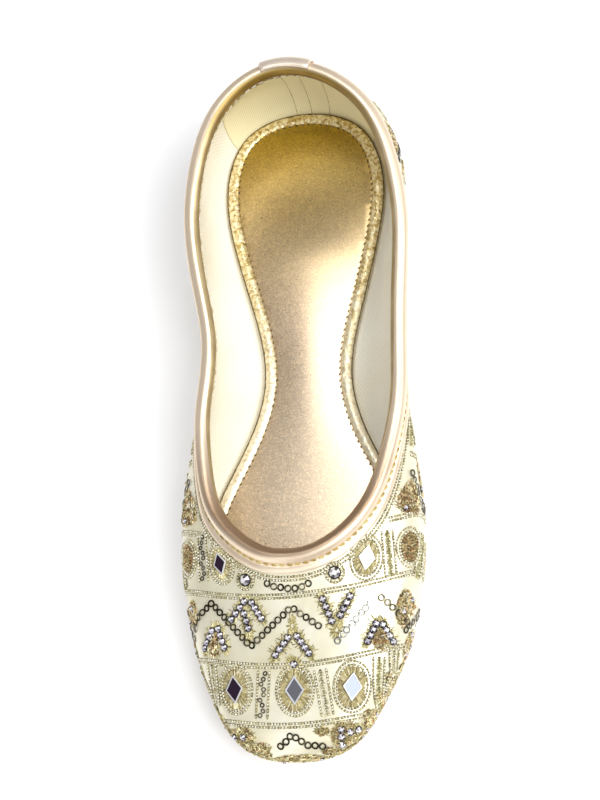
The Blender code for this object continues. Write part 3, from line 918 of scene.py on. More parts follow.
THREADS = {  # colours of dark, middle and bright stitches, roughness, and how metallic
    "gold_sewing_thread": ((0.30, 0.22, 0.04), (0.50, 0.40, 0.10), (0.72, 0.62, 0.24), 0.42, 0.55),
    "dark_thread_and_shadow": ((0.08, 0.05, 0.01), (0.16, 0.10, 0.03), (0.30, 0.22, 0.08), 0.60, 0.10),
    "pale_gold_zari": ((0.44, 0.38, 0.18), (0.86, 0.80, 0.58), (1.0, 0.98, 0.88), 0.40, 0.30),
    "deep_gold_zari": ((0.22, 0.17, 0.04), (0.56, 0.47, 0.18), (0.96, 0.90, 0.60), 0.36, 0.45),
    "olive_gold_zari": ((0.12, 0.095, 0.02), (0.50, 0.42, 0.13), (0.94, 0.87, 0.54), 0.40, 0.35),
    "olive_zari": ((0.20, 0.18, 0.05), (0.52, 0.47, 0.20), (0.88, 0.84, 0.54), 0.40, 0.40),
    "copper_zari": ((0.15, 0.07, 0.02), (0.56, 0.31, 0.11), (0.94, 0.72, 0.42), 0.34, 0.60),
    # dark pads of painted shade between stitches and beads
    "olive_painted_shade": ((0.08, 0.065, 0.02), (0.20, 0.17, 0.06), (0.40, 0.35, 0.16), 0.60, 0.10),
    "brown_painted_shade": ((0.07, 0.04, 0.015), (0.16, 0.10, 0.04), (0.30, 0.20, 0.08), 0.60, 0.10),
    "gold_painted_shade": ((0.16, 0.12, 0.04), (0.30, 0.24, 0.09), (0.50, 0.42, 0.20), 0.60, 0.10),
}
THREAD = {name: thread_finish(name, *look) for name, look in THREADS.items()}

ORNAMENTS = {  # darkest and brightest colour, roughness, how far it is smeared, and how metallic
    "gunmetal_sequin": ((0.03, 0.026, 0.014), (0.16, 0.14, 0.09), 0.18, 0.15, 1.0),
    # sequins painted pale, as painted glare
    "sequin_painted_glare": ((0.34, 0.34, 0.31), (0.66, 0.66, 0.62), 0.20, 0.15, 1.0),
    # nearly black setting, which also stands in for the shade round each stone
    "dark_setting_and_shade": ((0.012, 0.01, 0.01), (0.06, 0.05, 0.055), 0.35, 0.15, 1.0),
    "mirror_glass": ((0.80, 0.82, 0.90), (0.90, 0.92, 1.0), 0.03, 0.02, 1.0),
    # mirror glass with a painted dark reflection
    "mirror_glass_painted_dark_reflection": ((0.15, 0.09, 0.16), (0.21, 0.13, 0.22), 0.03, 0.02, 1.0),
    "mirror_rim": ((0.74, 0.74, 0.76), (0.95, 0.95, 0.96), 0.30, 0.15, 0.35),
}
ORNAMENT = {name: hard_finish(name, *look) for name, look in ORNAMENTS.items()}


# ------------------------------------------------------------------ upper and lining

WALL_MAP = (0.62, 0.05)  # size of the wall's map for the weave: round the shoe, and down the wall
SATIN_THICKNESS = 0.9 * MM
LINING_THICKNESS = 0.9 * MM


def wall_sheet(name, cells, proud, thickness, finish, slot=None):
    """Sheet all over the wall, cells round the shoe and down it, with its thickness on the inner side."""
    wall = WALL_SHAPE

    def place(u, v):
        s = u * wall.count
        return wall.at(s, v * wall.depth(s), proud)[0]

    bm = laid_grid(*cells, place, *WALL_MAP)
    close_up(bm)
    return thicken(piece(name, to_mesh(name, bm), finish, slot), thickness)


def make_upper_satin():
    satin = wall_sheet("upper_satin", (400, 50), 0.0, SATIN_THICKNESS, SATIN, "embroidered_satin")
    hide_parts("upper")


def make_lining():
    wall_sheet("upper_lining", (290, 32), LINING_THICKNESS - WALL, LINING_THICKNESS, LINING)


GRIP_HALF = 25.0 * MM  # the grip reaches this far round the heel on each side
GRIP_TOP = FLANGE_INSIDE * 0.6
SEAM_PLACES = (-3.6 * MM, 2.2 * MM, 9.6 * MM)  # across the heel
SEAM_STITCH = (1.6 * MM, 0.26 * MM, 0.26 * MM)


def make_heel_grip():
    """Patch on the lining round the heel, and the three fine seams down its middle."""
    wall = WALL_SHAPE
    halfway = wall.grid[:, 40]
    per_section = np.linalg.norm(np.diff(halfway, axis=0), axis=1).mean()
    reach = GRIP_HALF / per_section

    def place(u, v):
        spread = 1 + 0.3 * v  # its sides run a little outwards towards the sole
        s = (u - 0.5) * 2 * reach * spread
        down = GRIP_TOP + v * (wall.depth(s) - GRIP_TOP - 2 * MM)
        return wall.at(s, down, -WALL - 0.15 * MM)[0]

    bm = laid_grid(84, 20, place, 2 * GRIP_HALF, 45 * MM)
    bmesh.ops.recalc_face_normals(bm, faces=bm.faces)
    thicken(piece("heel_grip", to_mesh("heel_grip", bm), GRIP), 0.3 * MM)

    rows = []
    for x in SEAM_PLACES:
        s = np.full(24, x / per_section)
        down = np.linspace(FLANGE_INSIDE + 0.5 * MM, wall.depth(s[0]) - 4 * MM, 24)
        points, normals = wall.at(s, down, -WALL - 0.5 * MM)
        rows += bead_row(list(zip(points, -normals)), 1.5 * MM, SEAM_STITCH, 0.0)
    scatter("heel_seams", WIRE, rows, THREAD["gold_sewing_thread"], None)


# ------------------------------------------------------------------ binding and backstay

def rounded_profile(points, rounds):
    """Closed profile with its corners cut smooth. Each corner becomes 2 ** rounds points."""
    points = np.array(points, float)
    for _ in range(rounds):
        after = np.roll(points, -1, axis=0)
        cut = np.stack([points * 0.75 + after * 0.25, points * 0.25 + after * 0.75], axis=1)
        points = cut.reshape(-1, 2)
    return points


def binding_profile():
    """Down the wall and proud of it, in metres, round the binding's section."""
    near, far = GAP, GAP + BINDING_SKIN
    inner_near, inner_far = -WALL - near, -WALL - far
    edge, facing = FLANGE_OUTSIDE, FLANGE_INSIDE
    flange = [
        (edge, near), (edge, near), (edge + 0.1 * MM, far - 0.2 * MM), (edge - 0.3 * MM, far),
        (edge * 0.8, far + 0.12 * MM), (edge * 0.64, far + 0.05 * MM),
        (STITCH_LINE + 0.3 * MM, far - 0.3 * MM), (STITCH_LINE - 0.2 * MM, far - 0.35 * MM),
    ]
    roll = [
        (2.3 * MM, far + 0.35 * MM), (1.2 * MM, far + 0.85 * MM), (0, far + 0.95 * MM),
        (-1.3 * MM, far + 0.5 * MM), (-CREST_RISE, near - 0.1 * MM), (-CREST_RISE - 0.25 * MM, -WALL / 2),
        (-CREST_RISE, inner_near + 0.1 * MM), (-1.4 * MM, inner_far - 0.35 * MM),
        (0.2 * MM, inner_far - 0.5 * MM), (1.3 * MM, inner_far),
    ]
    inside = [
        (facing, inner_far), (facing + 0.1 * MM, inner_far + 0.1 * MM), (facing, inner_near),
        (facing, inner_near), (-GAP, inner_near), (-GAP, near), (edge * 0.45, near),
    ]
    return rounded_profile(flange + roll + inside, 2)


def uneven(points, scales, share):
    """Soft unevenness at points: a coarse noise, and a share of a finer one."""
    coarse, fine = scales
    return np.array([
        noise.noise(Vector(p) * coarse) + share * noise.noise(Vector(p) * fine) for p in points
    ])


LEATHER_RIPPLE = 0.035 * MM
FACING_DROP = 3.2  # mm that the facing reaches lower at the heel, on average
HEEL_SHARE = 0.045  # of the way round, over which it rises again
TURN_START, TURN_END = 0.35, 0.7  # of the way round the section, where the binding turns inwards


def torn_edge(sections):
    """How unevenly the facing is cut, at signed sections from the heel, from about -1 to 1."""
    return np.array([
        noise.noise(Vector((s * 0.3, 4.5, 0.5))) + 0.7 * noise.noise(Vector((s * 0.9, 2.5, 0.5)))
        for s in sections
    ])


def make_binding():
    """Leather strip folded over the top edge, with its two rows of stitches."""
    wall = WALL_SHAPE
    ring = looped(binding_profile())
    count = len(ring) - 1

    def place(u, v):
        s = u * wall.count
        down, proud = between(ring, v * count).T
        from_heel = np.minimum(s, wall.count - s)
        torn = torn_edge(from_heel * np.sign(s - 9))
        facing = (proud < -WALL) & (down > 2 * MM)
        lower = np.clip(1.6 - from_heel / wall.count / HEEL_SHARE, 0, 1)
        down = down + facing * (torn * FACING_DROP + FACING_DROP) * MM * lower
        points, normals = wall.at(s, down, proud)
        return points + normals * (uneven(points, (95, 260), 0.5) * LEATHER_RIPPLE)[:, None]

    bm = laid_grid(430, count, place, BINDING_ROUND, BINDING_ACROSS)
    uv = bm.loops.layers.uv.active
    for face in bm.faces:
        share = sum(loop[uv].uv.y for loop in face.loops) / len(face.loops) / BINDING_ACROSS
        proud = between(ring, [share * count])[0, 1]
        turned = TURN_START < share < TURN_END
        face.material_index = 2 if proud < -WALL else 1 if turned else 0
    close_up(bm)
    mesh = to_mesh("satin_binding", bm)
    binding = piece("satin_binding", mesh, BINDING, "binding", BINDING_TURN, BINDING_INSIDE)
    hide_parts("topline_binding")

    skin = GAP + BINDING_SKIN
    outer = topline_stitches(STITCH_LINE, skin - 0.12 * MM, 2.9 * MM, 0.16)
    scatter("binding_stitches", STITCH, outer, THREAD["gold_sewing_thread"], "binding")
    inner = topline_stitches(FLANGE_INSIDE - 0.7 * MM, -WALL - skin - 0.25 * MM, 3.0 * MM, -0.2)
    scatter("facing_stitches", STITCH, inner, THREAD["pale_gold_zari"], "binding")


def topline_spots(down, proud, count=900):
    """Spots all the way round at one depth below the top edge."""
    wall = WALL_SHAPE
    s = np.linspace(0, wall.count, count, endpoint=False)
    points, normals = wall.at(s, np.full(count, down), np.full(count, proud))
    return list(zip(points, normals if proud > -WALL else -normals))


def topline_stitches(down, proud, pitch, slant):
    size = pitch * 0.8, 0.62 * MM, 0.6 * MM
    return bead_row(topline_spots(down, proud), pitch, size, 0.0, closed=True, slant=slant)


def backstay_path(height):
    """Down the wall and proud of it: over the binding's roll, then down to the lower corner."""
    over, top, foot = GAP + BINDING_SKIN + GAP, -CREST_RISE - 0.7 * MM, height - 1.0 * MM
    rounds = 3
    closed = rounded_profile([
        (top - 0.05 * MM, -WALL * 0.9), (top, 0.2 * MM), (-1.5 * MM, over + 0.75 * MM),
        (0.2 * MM, over + 1.2 * MM), (1.6 * MM, over + 0.9 * MM), (STITCH_LINE, over + 0.1 * MM),
        (FLANGE_OUTSIDE, over + 0.2 * MM), (FLANGE_OUTSIDE + 2.4 * MM, GAP), (height * 0.4, GAP),
        (height * 0.6, GAP), (foot - 0.2 * MM, GAP), (foot, GAP), (foot, GAP), (top, -WALL),
    ], rounds)
    return closed[:-2 * 2**rounds]  # without the way back up


STRIP_STITCH = (2.2 * MM, 0.5 * MM, 0.42 * MM)


def make_backstay():
    """Strip over the back seam and the roll above it, with its two stitch rows."""
    wall = WALL_SHAPE
    halfway = wall.grid[:, 42]
    per_section = np.linalg.norm(halfway[1] - halfway[0])
    reach = BACKSTAY_WIDTH / 2 / per_section
    path = backstay_path(wall.down[0, -1])
    run = run_along(path)
    length = run[-1]
    apart = run + 1e-7 * np.arange(len(run))  # keeps points that coincide apart
    slopes = np.gradient(path, apart, axis=0)
    skin = BACKSTAY_SKIN * 0.8

    def strip(u, v):
        down, proud = between(path, v * length, run).T
        slope = between(slopes, v * length, run)
        slope = slope / np.linalg.norm(slope, axis=1)[:, None]
        rounded = np.clip((np.abs(u - 0.5) - 0.42) / 0.08, 0, 1) ** 2 * 0.5  # off the long edges
        belly = skin * (1 - rounded)
        return wall.at((u - 0.5) * 2 * reach, down - slope[:, 1] * belly, proud + slope[:, 0] * belly)[0]

    bm = laid_grid(40, 120, strip, BACKSTAY_WIDTH, length)
    bmesh.ops.recalc_face_normals(bm, faces=bm.faces)
    backstay = piece("back_strip", to_mesh("back_strip", bm), BACKSTAY, "backstay")
    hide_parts("backstay")
    thicken(backstay, BACKSTAY_SKIN * 0.7)

    rows = []
    for side in (-1, 1):
        u = np.full(80, 0.5 + side * 0.40)
        v = np.linspace(0.16, 0.97, 80)
        down = between(path, v * length, run)[:, 0]
        normals = wall.at((u - 0.5) * 2 * reach, down)[1]
        rows += bead_row(list(zip(strip(u, v), normals)), 2.8 * MM, STRIP_STITCH, 0.05 * MM)
    scatter("back_strip_stitches", STITCH, rows, THREAD["gold_sewing_thread"], "backstay")


# ------------------------------------------------------------------ sock and piping

def inset_edge(count, inset):
    """The sole's edge, moved inwards."""
    edge = sole_edge(count)
    return edge - outward(edge) * inset


def level(loop, z):
    return np.hstack([loop, np.full((len(loop), 1), z)])


def half_width(y, inset=0.0):
    """Medial and lateral reach of the sole's edge, moved inwards, at places y along the shoe."""
    edge = inset_edge(720, inset)
    toe, heel = int(np.argmin(edge[:, 1])), int(np.argmax(edge[:, 1]))
    edge = np.roll(edge, -heel, axis=0)
    toe = (toe - heel) % len(edge)
    lateral, medial = edge[:toe + 1][::-1], edge[toe:]
    return (np.interp(y, medial[:, 1], medial[:, 0]), np.interp(y, lateral[:, 1], lateral[:, 0]))


def ring_edges(bm, ring):
    """Edges of a closed ring of vertices, made where there are none."""
    return [bm.edges.get(pair) or bm.edges.new(pair) for pair in zip(ring, ring[1:] + ring[:1])]


def slice_faces(bm, parts, place, direction):
    """Cuts parts of the mesh along a plane and keeps both sides."""
    bmesh.ops.bisect_plane(bm, geom=parts, dist=1e-7, plane_co=place, plane_no=direction)


SOCK_CELL = 2.6 * MM
SOCK_CUTS = (48, 15)  # on each side of the middle, along the shoe and across it
SOCK_EDGE_RISE = 0.7 * MM
SOCK_SINK = 0.2 * MM
HEEL_DISH = 0.25 * MM
WAIST_CROWN = 1.5 * MM


def make_sock():
    """Padded sock, dished under the heel and lifted a little where it meets the piping."""
    top = INSIDE_BASE + INSOLE_THICKNESS
    bm = bmesh.new()
    rings = [
        (INSOLE_INSET - 1.2 * MM, INSIDE_BASE), (INSOLE_INSET - 1.2 * MM, top - 0.7 * MM),
        (INSOLE_INSET - 0.8 * MM, top - 0.25 * MM), (INSOLE_INSET, top),
    ]
    loops = [[bm.verts.new(p) for p in level(inset_edge(240, inset), z)] for inset, z in rings]
    for a, b in zip(loops, loops[1:]):
        bmesh.ops.bridge_loops(bm, edges=ring_edges(bm, a) + ring_edges(bm, b))
    bm.faces.new(loops[0][::-1])
    bm.faces.new(loops[-1])
    along, across = SOCK_CUTS
    for k in range(-along, along + 1):
        slice_faces(bm, bm.verts[:] + bm.edges[:] + bm.faces[:], (0, k * SOCK_CELL, 0), (0, 1, 0))
        if abs(k) <= across:
            slice_faces(bm, bm.verts[:] + bm.edges[:] + bm.faces[:], (k * SOCK_CELL, 0, 0), (1, 0, 0))
    place = np.array([v.co for v in bm.verts])
    medial, lateral = half_width(place[:, 1], INSOLE_INSET)
    to_side = np.clip(2 * (place[:, 0] - medial) / np.maximum(lateral - medial, 1e-4) - 1, -1, 1)
    share = place[:, 1] / SOLE_LENGTH + 0.5
    dish = HEEL_DISH * smooth((share - 0.75) / 0.15)
    crown = WAIST_CROWN * smooth((0.88 - share) / 0.14)
    edge_rise = np.abs(to_side) ** 2.4 * (SOCK_EDGE_RISE + dish)
    lift = edge_rise - SOCK_SINK - dish + crown * (1 - to_side ** 2)
    upper = place[:, 2] > INSIDE_BASE + 1 * MM
    for v, rise, raised in zip(bm.verts, lift, upper):
        v.co.z += float(sole_top(v.co.y)) + (float(rise) if raised else 0.0)
    bmesh.ops.recalc_face_normals(bm, faces=bm.faces)
    bmesh.ops.triangulate(bm, faces=bm.faces)
    sock = piece("sock", to_mesh("sock", bm, 60), SOCK, "sock")
    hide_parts("insole")


def edge_reader(count):
    """read(u): the sole's edge and its outward direction at shares u of the way round."""
    edge = sole_edge(count)
    table = looped(np.hstack([edge, outward(edge)]))

    def read(u):
        return np.split(between(table, u * count), 2, axis=1)

    return read


CRINKLE = 0.3 * MM
# dark cords that paint the shadow lines along both sides of the piping
PIPING_SHADOW_CORDS = (  # inset from the sole's edge, height over the inside of the sole, radius
    (PIPING_INSET - 0.42 * MM, PIPING_HEIGHT * 0.72, 0.24 * MM),
    (PIPING_INSET + PIPING_WIDTH + 0.32 * MM, PIPING_HEIGHT * 0.70, 0.14 * MM),
)
PIPING_STITCH = (1.4 * MM, 0.7 * MM, 0.6 * MM)


def edge_cord(read, inset, rise, radius):
    """Thin dark cord along the piping, a painted shadow line at its seam."""
    def place(u, v):
        line, out = read(u)
        turn = 2 * np.pi * v
        z = sole_top(line[:, 1]) + INSIDE_BASE + rise + radius * np.sin(turn)
        return np.hstack([line - out * (inset + radius * np.cos(turn))[:, None], z[:, None]])

    cord = laid_grid(450, 6, place)
    close_up(cord)
    return cord


def make_piping():
    """Foil-covered cord that frames the sock, crinkled, and the dark stitches along its inner side."""
    middle = PIPING_INSET + PIPING_WIDTH / 2
    half_height = PIPING_HEIGHT / 2
    count = 900
    read = edge_reader(count)

    def place(u, v):
        line, out = read(u)
        turn = 2 * np.pi * v
        centre = line - out * middle
        flat = centre + out * ((PIPING_WIDTH / 2 + 0.35 * MM) * np.cos(turn))[:, None]
        base = INSIDE_BASE + sole_top(centre[:, 1])
        points = np.hstack([flat, (base + half_height * (1 + np.sin(turn)))[:, None]])
        heart = np.hstack([centre, (base + half_height)[:, None]])
        outwards = (points - heart) / half_height
        folds = np.abs(uneven(points, (620, 1500), 0.7)) * CRINKLE
        return points + outwards * (0.25 * MM - folds)[:, None]

    bm = laid_grid(count, 16, place, 0.6, 0.012)
    close_up(bm)
    piping = piece("foil_piping", to_mesh("foil_piping", bm, 75), FOIL, "piping")
    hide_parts("insole_piping")

    dark = THREAD["dark_thread_and_shadow"]
    # painted shadow lines along both sides of the piping
    joined("piping_shadow_lines", [edge_cord(read, *cord) for cord in PIPING_SHADOW_CORDS], dark, "piping")

    edge = sole_edge(count)
    away = outward(edge)
    inner = edge - away * (PIPING_INSET + PIPING_WIDTH + 0.25 * MM)
    z = INSIDE_BASE + PIPING_HEIGHT * 0.84 + sole_top(inner[:, 1])
    slope = np.hstack([-away * 0.6, np.full((count, 1), 0.8)])
    spots = list(zip(np.hstack([inner, z[:, None]]), slope))
    rows = bead_row(spots, 2.5 * MM, PIPING_STITCH, 0.16 * MM, closed=True, slant=0.5)
    scatter("piping_stitches", STITCH, rows, dark, "piping")


# ------------------------------------------------------------------ outsole and tread
# Rows of the tread, start and end as shares of the sole's length.
TRUSS_ROWS = {
    "fore_1": (0.066, 0.104),
    "fore_2": (0.123, 0.166),
    "fore_3": (0.184, 0.229),
    "fore_4": (0.247, 0.294),
    "fore_5": (0.311, 0.359),
    "fore_6": (0.378, 0.427),
    "heel_1": (0.727, 0.774),
    "heel_2": (0.793, 0.838),
    "heel_3": (0.858, 0.904),
}
WAVE_ROWS = {  # start, end, number of ridges, wave length and swing in mm
    "toe_waves": (0.012, 0.047, 6, 7.0, 0.45),
    "heel_waves": (0.924, 0.982, 7, 8.3, 0.9),
}
TRUSS_CELL = 9.0 * MM
BAR_WIDTH = 1.9 * MM
BAR_TOP = 0.06 * MM
PIT_PITCH = 4.6 * MM
PIT_DEPTH = 0.9 * MM
PIT_CELLS, PIT_LENGTH = 8, 3  # cells of the rim from pit to pit, and cells in a pit
PIT_ROW = 3  # row of the rim's profile that the pits are sunk in
PITS_FROM = 0.055  # share of the length
PIT_CLEAR = 1.5 * MM  # distance from the breast
WAIST_START, WAIST_END = 0.443, 0.7225
WAIST_LEVEL = 0.45 * MM
WAIST_RELIEF = 0.2 * MM
RIB_COLUMN = 2.3 * MM
RIB_PITCH = 2.7 * MM
RIB_SLOPE = 0.8
SPOT_Y, SPOT_RADIUS = -3.0 * MM, 8.8 * MM
RING_Y, RING_RADIUS = 29.0 * MM, 5.8 * MM
PLAQUE_Y, PLAQUE_SIZE = 44.3 * MM, (25.8 * MM, 8.6 * MM)


def bent(points):
    """Bends points of the flat sole to the arch and the toe spring."""
    points = np.array(points)
    low, high = underside(points[:, 1]), sole_top(points[:, 1])
    share = points[:, 2] / FORE_THICKNESS
    deep = points[:, 2] > CHANNEL_DEPTH + 0.3 * MM
    points[:, 2] = np.where(deep, low + (high - low) * share, points[:, 2] + low)
    return points


def bend_mesh(mesh):
    flat = np.zeros(len(mesh.vertices) * 3)
    mesh.vertices.foreach_get("co", flat)
    mesh.vertices.foreach_set("co", bent(flat.reshape(-1, 3)).ravel())
    mesh.update()


def rim_width(y):
    share = y / SOLE_LENGTH + 0.5
    return RIM_WIDTH * (0.42 + 0.58 * smooth((share - 0.01) / 0.07))


RIM_PROFILE = np.array([  # share of the rim's width, plain inset, height: from the channel out and up
    (1.0, 0, CHANNEL_DEPTH), (0.96, 0, 0.12 * MM), (0.90, 0, 0), (0.68, 0, 0), (0.38, 0, 0),
    (0, EDGE_ROUND, 0), (0, 0.25 * MM, 0.25 * MM), (0, 0, EDGE_ROUND), (0, 0, 2.2 * MM),
    (0, 0, FORE_THICKNESS - FEATHER_LIP),
    (0, 0.2 * MM, FORE_THICKNESS - FEATHER_LIP + 0.15 * MM),
    (0, FEATHER_STEP, FORE_THICKNESS - FEATHER_LIP + 0.3 * MM),
    (0, FEATHER_STEP, FORE_THICKNESS),
])


def rim_grid(count):
    """Rim, side and feather edge of the sole, laid flat, and the faces that its pits are sunk in."""
    read = edge_reader(count)
    last = len(RIM_PROFILE) - 1

    def place(u, v):
        line, out = read(u)
        share, plain, z = between(RIM_PROFILE, v * last).T
        inset = share * rim_width(line[:, 1]) + plain
        return np.hstack([line - out * inset[:, None], z[:, None]])

    bm = laid_grid(count, last, place)
    uv = bm.loops.layers.uv.active
    pits = []
    for face in bm.faces:
        u, v = (sum(loop[uv].uv[k] for loop in face.loops) / 4 for k in range(2))
        y = face.calc_center_median().y
        in_row = PIT_ROW < v * last < PIT_ROW + 1 and int(u * count) % PIT_CELLS < PIT_LENGTH
        if in_row and y > along_to_y(PITS_FROM) and abs(y - along_to_y(BREAST)) > PIT_CLEAR:
            pits.append(face)
    return bm, pits


def make_sole_body():
    """Moulded sole without its tread: made flat, sliced across so that it bends, then bent."""
    around = run_along(looped(sole_edge(2400)))[-1]
    bm, pits = rim_grid(PIT_CELLS * round(around / PIT_PITCH))
    close_up(bm)
    raise_faces(bm, pits, PIT_DEPTH)
    bmesh.ops.delete(bm, geom=pits, context="FACES_ONLY")
    open_edges = [e for e in bm.edges if e.is_boundary]
    filled = bmesh.ops.holes_fill(bm, edges=open_edges, sides=0)["faces"]
    truss = [(along_to_y(a), along_to_y(b)) for a, b in TRUSS_ROWS.values()]
    for y in [*np.arange(-122, 124, 2.5) * MM, *(y for ends in truss for y in ends)]:
        flat = [f for f in bm.faces if len(f.verts) > 4 or f in filled]
        parts = set(flat) | {e for f in flat for e in f.edges} | {v for f in flat for v in f.verts}
        slice_faces(bm, list(parts), (0, y, 0), (0, 1, 0))
        filled = [f for f in bm.faces if len(f.verts) > 4]
    for face in bm.faces:
        if all(abs(v.co.z - CHANNEL_DEPTH) < 1e-6 for v in face.verts):
            y = face.calc_center_median().y
            face.material_index = 2 if any(a < y < b for a, b in truss) else 1
    bmesh.ops.triangulate(bm, faces=[f for f in bm.faces if len(f.verts) > 4])
    bmesh.ops.recalc_face_normals(bm, faces=bm.faces)
    mesh = to_mesh("sole_body", bm, 35)
    bend_mesh(mesh)
    body = piece("sole_body", mesh, TAN, "sole", TAN_CHANNEL, TAN_GLOSSY)
    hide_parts("outsole")


def bar_shape(bm):
    """Tread bar, narrower at its ground face."""
    bmesh.ops.create_cube(bm, size=1)
    for v in bm.verts:
        if v.co.z < 0:
            v.co.x *= 0.66


def trimmed(start, end):
    """The part of a flat line that lies inside the rim, or None."""
    t = np.linspace(0, 1, 80)[:, None]
    line = np.array(start) * (1 - t) + np.array(end) * t
    share = line[:, 1] / SOLE_LENGTH + 0.5
    medial, lateral = half_width(line[:, 1], RIM_WIDTH * 0.72)
    inside = (line[:, 0] > medial) & (line[:, 0] < lateral) & (share > 0.02) & (share < 0.98)
    if inside.sum() < 6:
        return None
    kept = line[inside]
    return kept[0], kept[-1]


def tread_bar(start, end, width=BAR_WIDTH):
    cut = trimmed(start, end)
    if cut is None:
        return []
    a, b = (np.array((*p, 0.0)) for p in cut)
    height = CHANNEL_DEPTH - BAR_TOP + 0.05 * MM
    middle = (a + b) / 2 + np.array((0, 0, BAR_TOP + height / 2))
    return [placed(middle, axes((0, 0, 1), b - a), (width, np.linalg.norm(b - a), height))]


def make_truss_tread():
    """Rails with crossed braces and posts between them."""
    bars = []
    for start, end in TRUSS_ROWS.values():
        front, back = along_to_y(start) + BAR_WIDTH / 2, along_to_y(end) - BAR_WIDTH / 2
        for y in (front, back):
            bars += tread_bar((-50 * MM, y), (50 * MM, y))
        for k in range(-5, 5):
            left, right = k * TRUSS_CELL, (k + 1) * TRUSS_CELL
            bars += tread_bar((left, front), (left, back), BAR_WIDTH * 0.85)
            bars += tread_bar((left, front), (right, back))
            bars += tread_bar((left, back), (right, front))
    tread = scatter("truss_tread", template(bar_shape), bars, TAN, "sole", smooth=False)
    bend_mesh(tread.data)


def joined(name, parts, finish, slot, angle=40):
    bm = bmesh.new()
    for part in parts:
        mesh = bpy.data.meshes.new("part")
        part.to_mesh(mesh)
        part.free()
        bm.from_mesh(mesh)
        bpy.data.meshes.remove(mesh)
    bmesh.ops.recalc_face_normals(bm, faces=bm.faces)
    return piece(name, to_mesh(name, bm, angle), finish, slot)


def make_wave_tread():
    """Wavy ridges across the toe and the heel."""
    parts = []
    foot = CHANNEL_DEPTH + 0.05 * MM
    section = np.array([
        (-0.95 * MM, foot), (-0.42 * MM, BAR_TOP), (0.42 * MM, BAR_TOP), (0.95 * MM, foot),
    ])
    for start, end, ridges, wave, swing in WAVE_ROWS.values():
        first, last = along_to_y(start), along_to_y(end)
        for k in range(ridges):
            y = first + (last - first) * (k + 0.5) / ridges
            medial, lateral = (float(x[0]) for x in half_width(np.array([y]), 3.2 * MM))
            medial, lateral = medial + 0.6 * MM, lateral - 0.6 * MM

            def place(u, v):
                x = medial + (lateral - medial) * u
                across, z = between(section, v * 3).T
                line = y + swing * MM * np.cos(2 * np.pi * x / (wave * MM)) + across
                return bent(np.stack([x, line, z], axis=1))

            steps = max(8, int((lateral - medial) / (0.6 * MM)))
            parts.append(laid_grid(steps, 3, place))
    joined("wave_tread", parts, TAN, "sole")


def make_waist_panel():
    """Close herringbone relief between forefoot and heel, which the marks stand on."""
    first, last = along_to_y(WAIST_START), along_to_y(WAIST_END)

    def place(u, v):
        v = np.clip((v - 0.006) / 0.988, 0, 1)
        y = first + (last - first) * v
        medial, lateral = half_width(y, RIM_WIDTH - 0.3 * MM)
        x = medial + (lateral - medial) * u
        column = np.floor(x / RIB_COLUMN)
        slope = np.where(column % 2 == 0, RIB_SLOPE, -RIB_SLOPE)
        phase = (y + slope * (x - column * RIB_COLUMN)) / RIB_PITCH
        ridge = np.abs((phase % 1) - 0.5) * 2
        seam = np.clip(np.abs((x / RIB_COLUMN) % 1 - 0.5) * 2 - 0.8, 0, 1) * 3
        z = WAIST_LEVEL + WAIST_RELIEF * np.clip(1 - ridge * 1.5 - seam, -1, 1)
        ends = (v <= 0) | (v >= 1)
        return bent(np.stack([x, y, np.where(ends, CHANNEL_DEPTH + 0.1 * MM, z)], axis=1))

    bm = laid_grid(120, 260, place)
    bmesh.ops.recalc_face_normals(bm, faces=bm.faces)
    mesh = to_mesh("waist_relief", bm, 50)
    if mesh.polygons[len(mesh.polygons) // 2].normal.z > 0:
        mesh.flip_normals()
    piece("waist_relief", mesh, TAN, "sole")


def stand_out(bm, y, height):
    """Moves a flat outline to its place on the waist, makes it stand out and returns its face."""
    bmesh.ops.translate(bm, vec=(0, y, WAIST_LEVEL + WAIST_RELIEF), verts=bm.verts)
    raise_faces(bm, bm.faces[:], -height)
    return min(bm.faces, key=lambda f: f.calc_center_median().z)


def sink_inside(bm, face, band, slope, depth):
    """Leaves a band round a face and sinks the rest of it."""
    bmesh.ops.inset_region(bm, faces=[face], thickness=band)
    bmesh.ops.inset_region(bm, faces=[face], thickness=slope, depth=-depth)


def make_sole_marks():
    """Smooth raised spot, a ring and a framed plaque, all bare."""
    spot, ring, plaque = (bmesh.new() for _ in range(3))
    bmesh.ops.create_circle(spot, cap_ends=True, segments=64, radius=SPOT_RADIUS)
    face = stand_out(spot, SPOT_Y, 0.42 * MM)
    bmesh.ops.inset_region(spot, faces=[face], thickness=0.25 * MM, depth=0.14 * MM)
    bmesh.ops.create_circle(ring, cap_ends=True, segments=64, radius=RING_RADIUS)
    sink_inside(ring, stand_out(ring, RING_Y, 0.42 * MM), 0.7 * MM, 0.12 * MM, 0.22 * MM)
    bmesh.ops.create_grid(plaque, x_segments=1, y_segments=1, size=0.5)
    bmesh.ops.scale(plaque, vec=(*PLAQUE_SIZE, 1), verts=plaque.verts)
    sink_inside(plaque, stand_out(plaque, PLAQUE_Y, 0.5 * MM), 0.75 * MM, 0.15 * MM, 0.32 * MM)
    marks = joined("sole_marks", [spot, ring, plaque], TAN, "sole", 30)
    bend_mesh(marks.data)


# ------------------------------------------------------------------ embroidery
# Cord borders over the vamp: y = middle + tilt * x + bow * x * x, all in mm.
VAMP_BORDERS = {
    "toe": (-119.6, 0.02, 0.0048),
    "toe_band": (-99.0, 0.03, 0.0044),
    "vamp": (-75.0, 0.035, 0.0042),
    "throat": (-55.0, 0.02, 0.0046),
}
SIDE_BORDERS = {1: (-24, -3.7, 18.8, 38, 61, 82, 105), -1: (-22, -1, 21.5, 41, 63.5, 84, 106)}

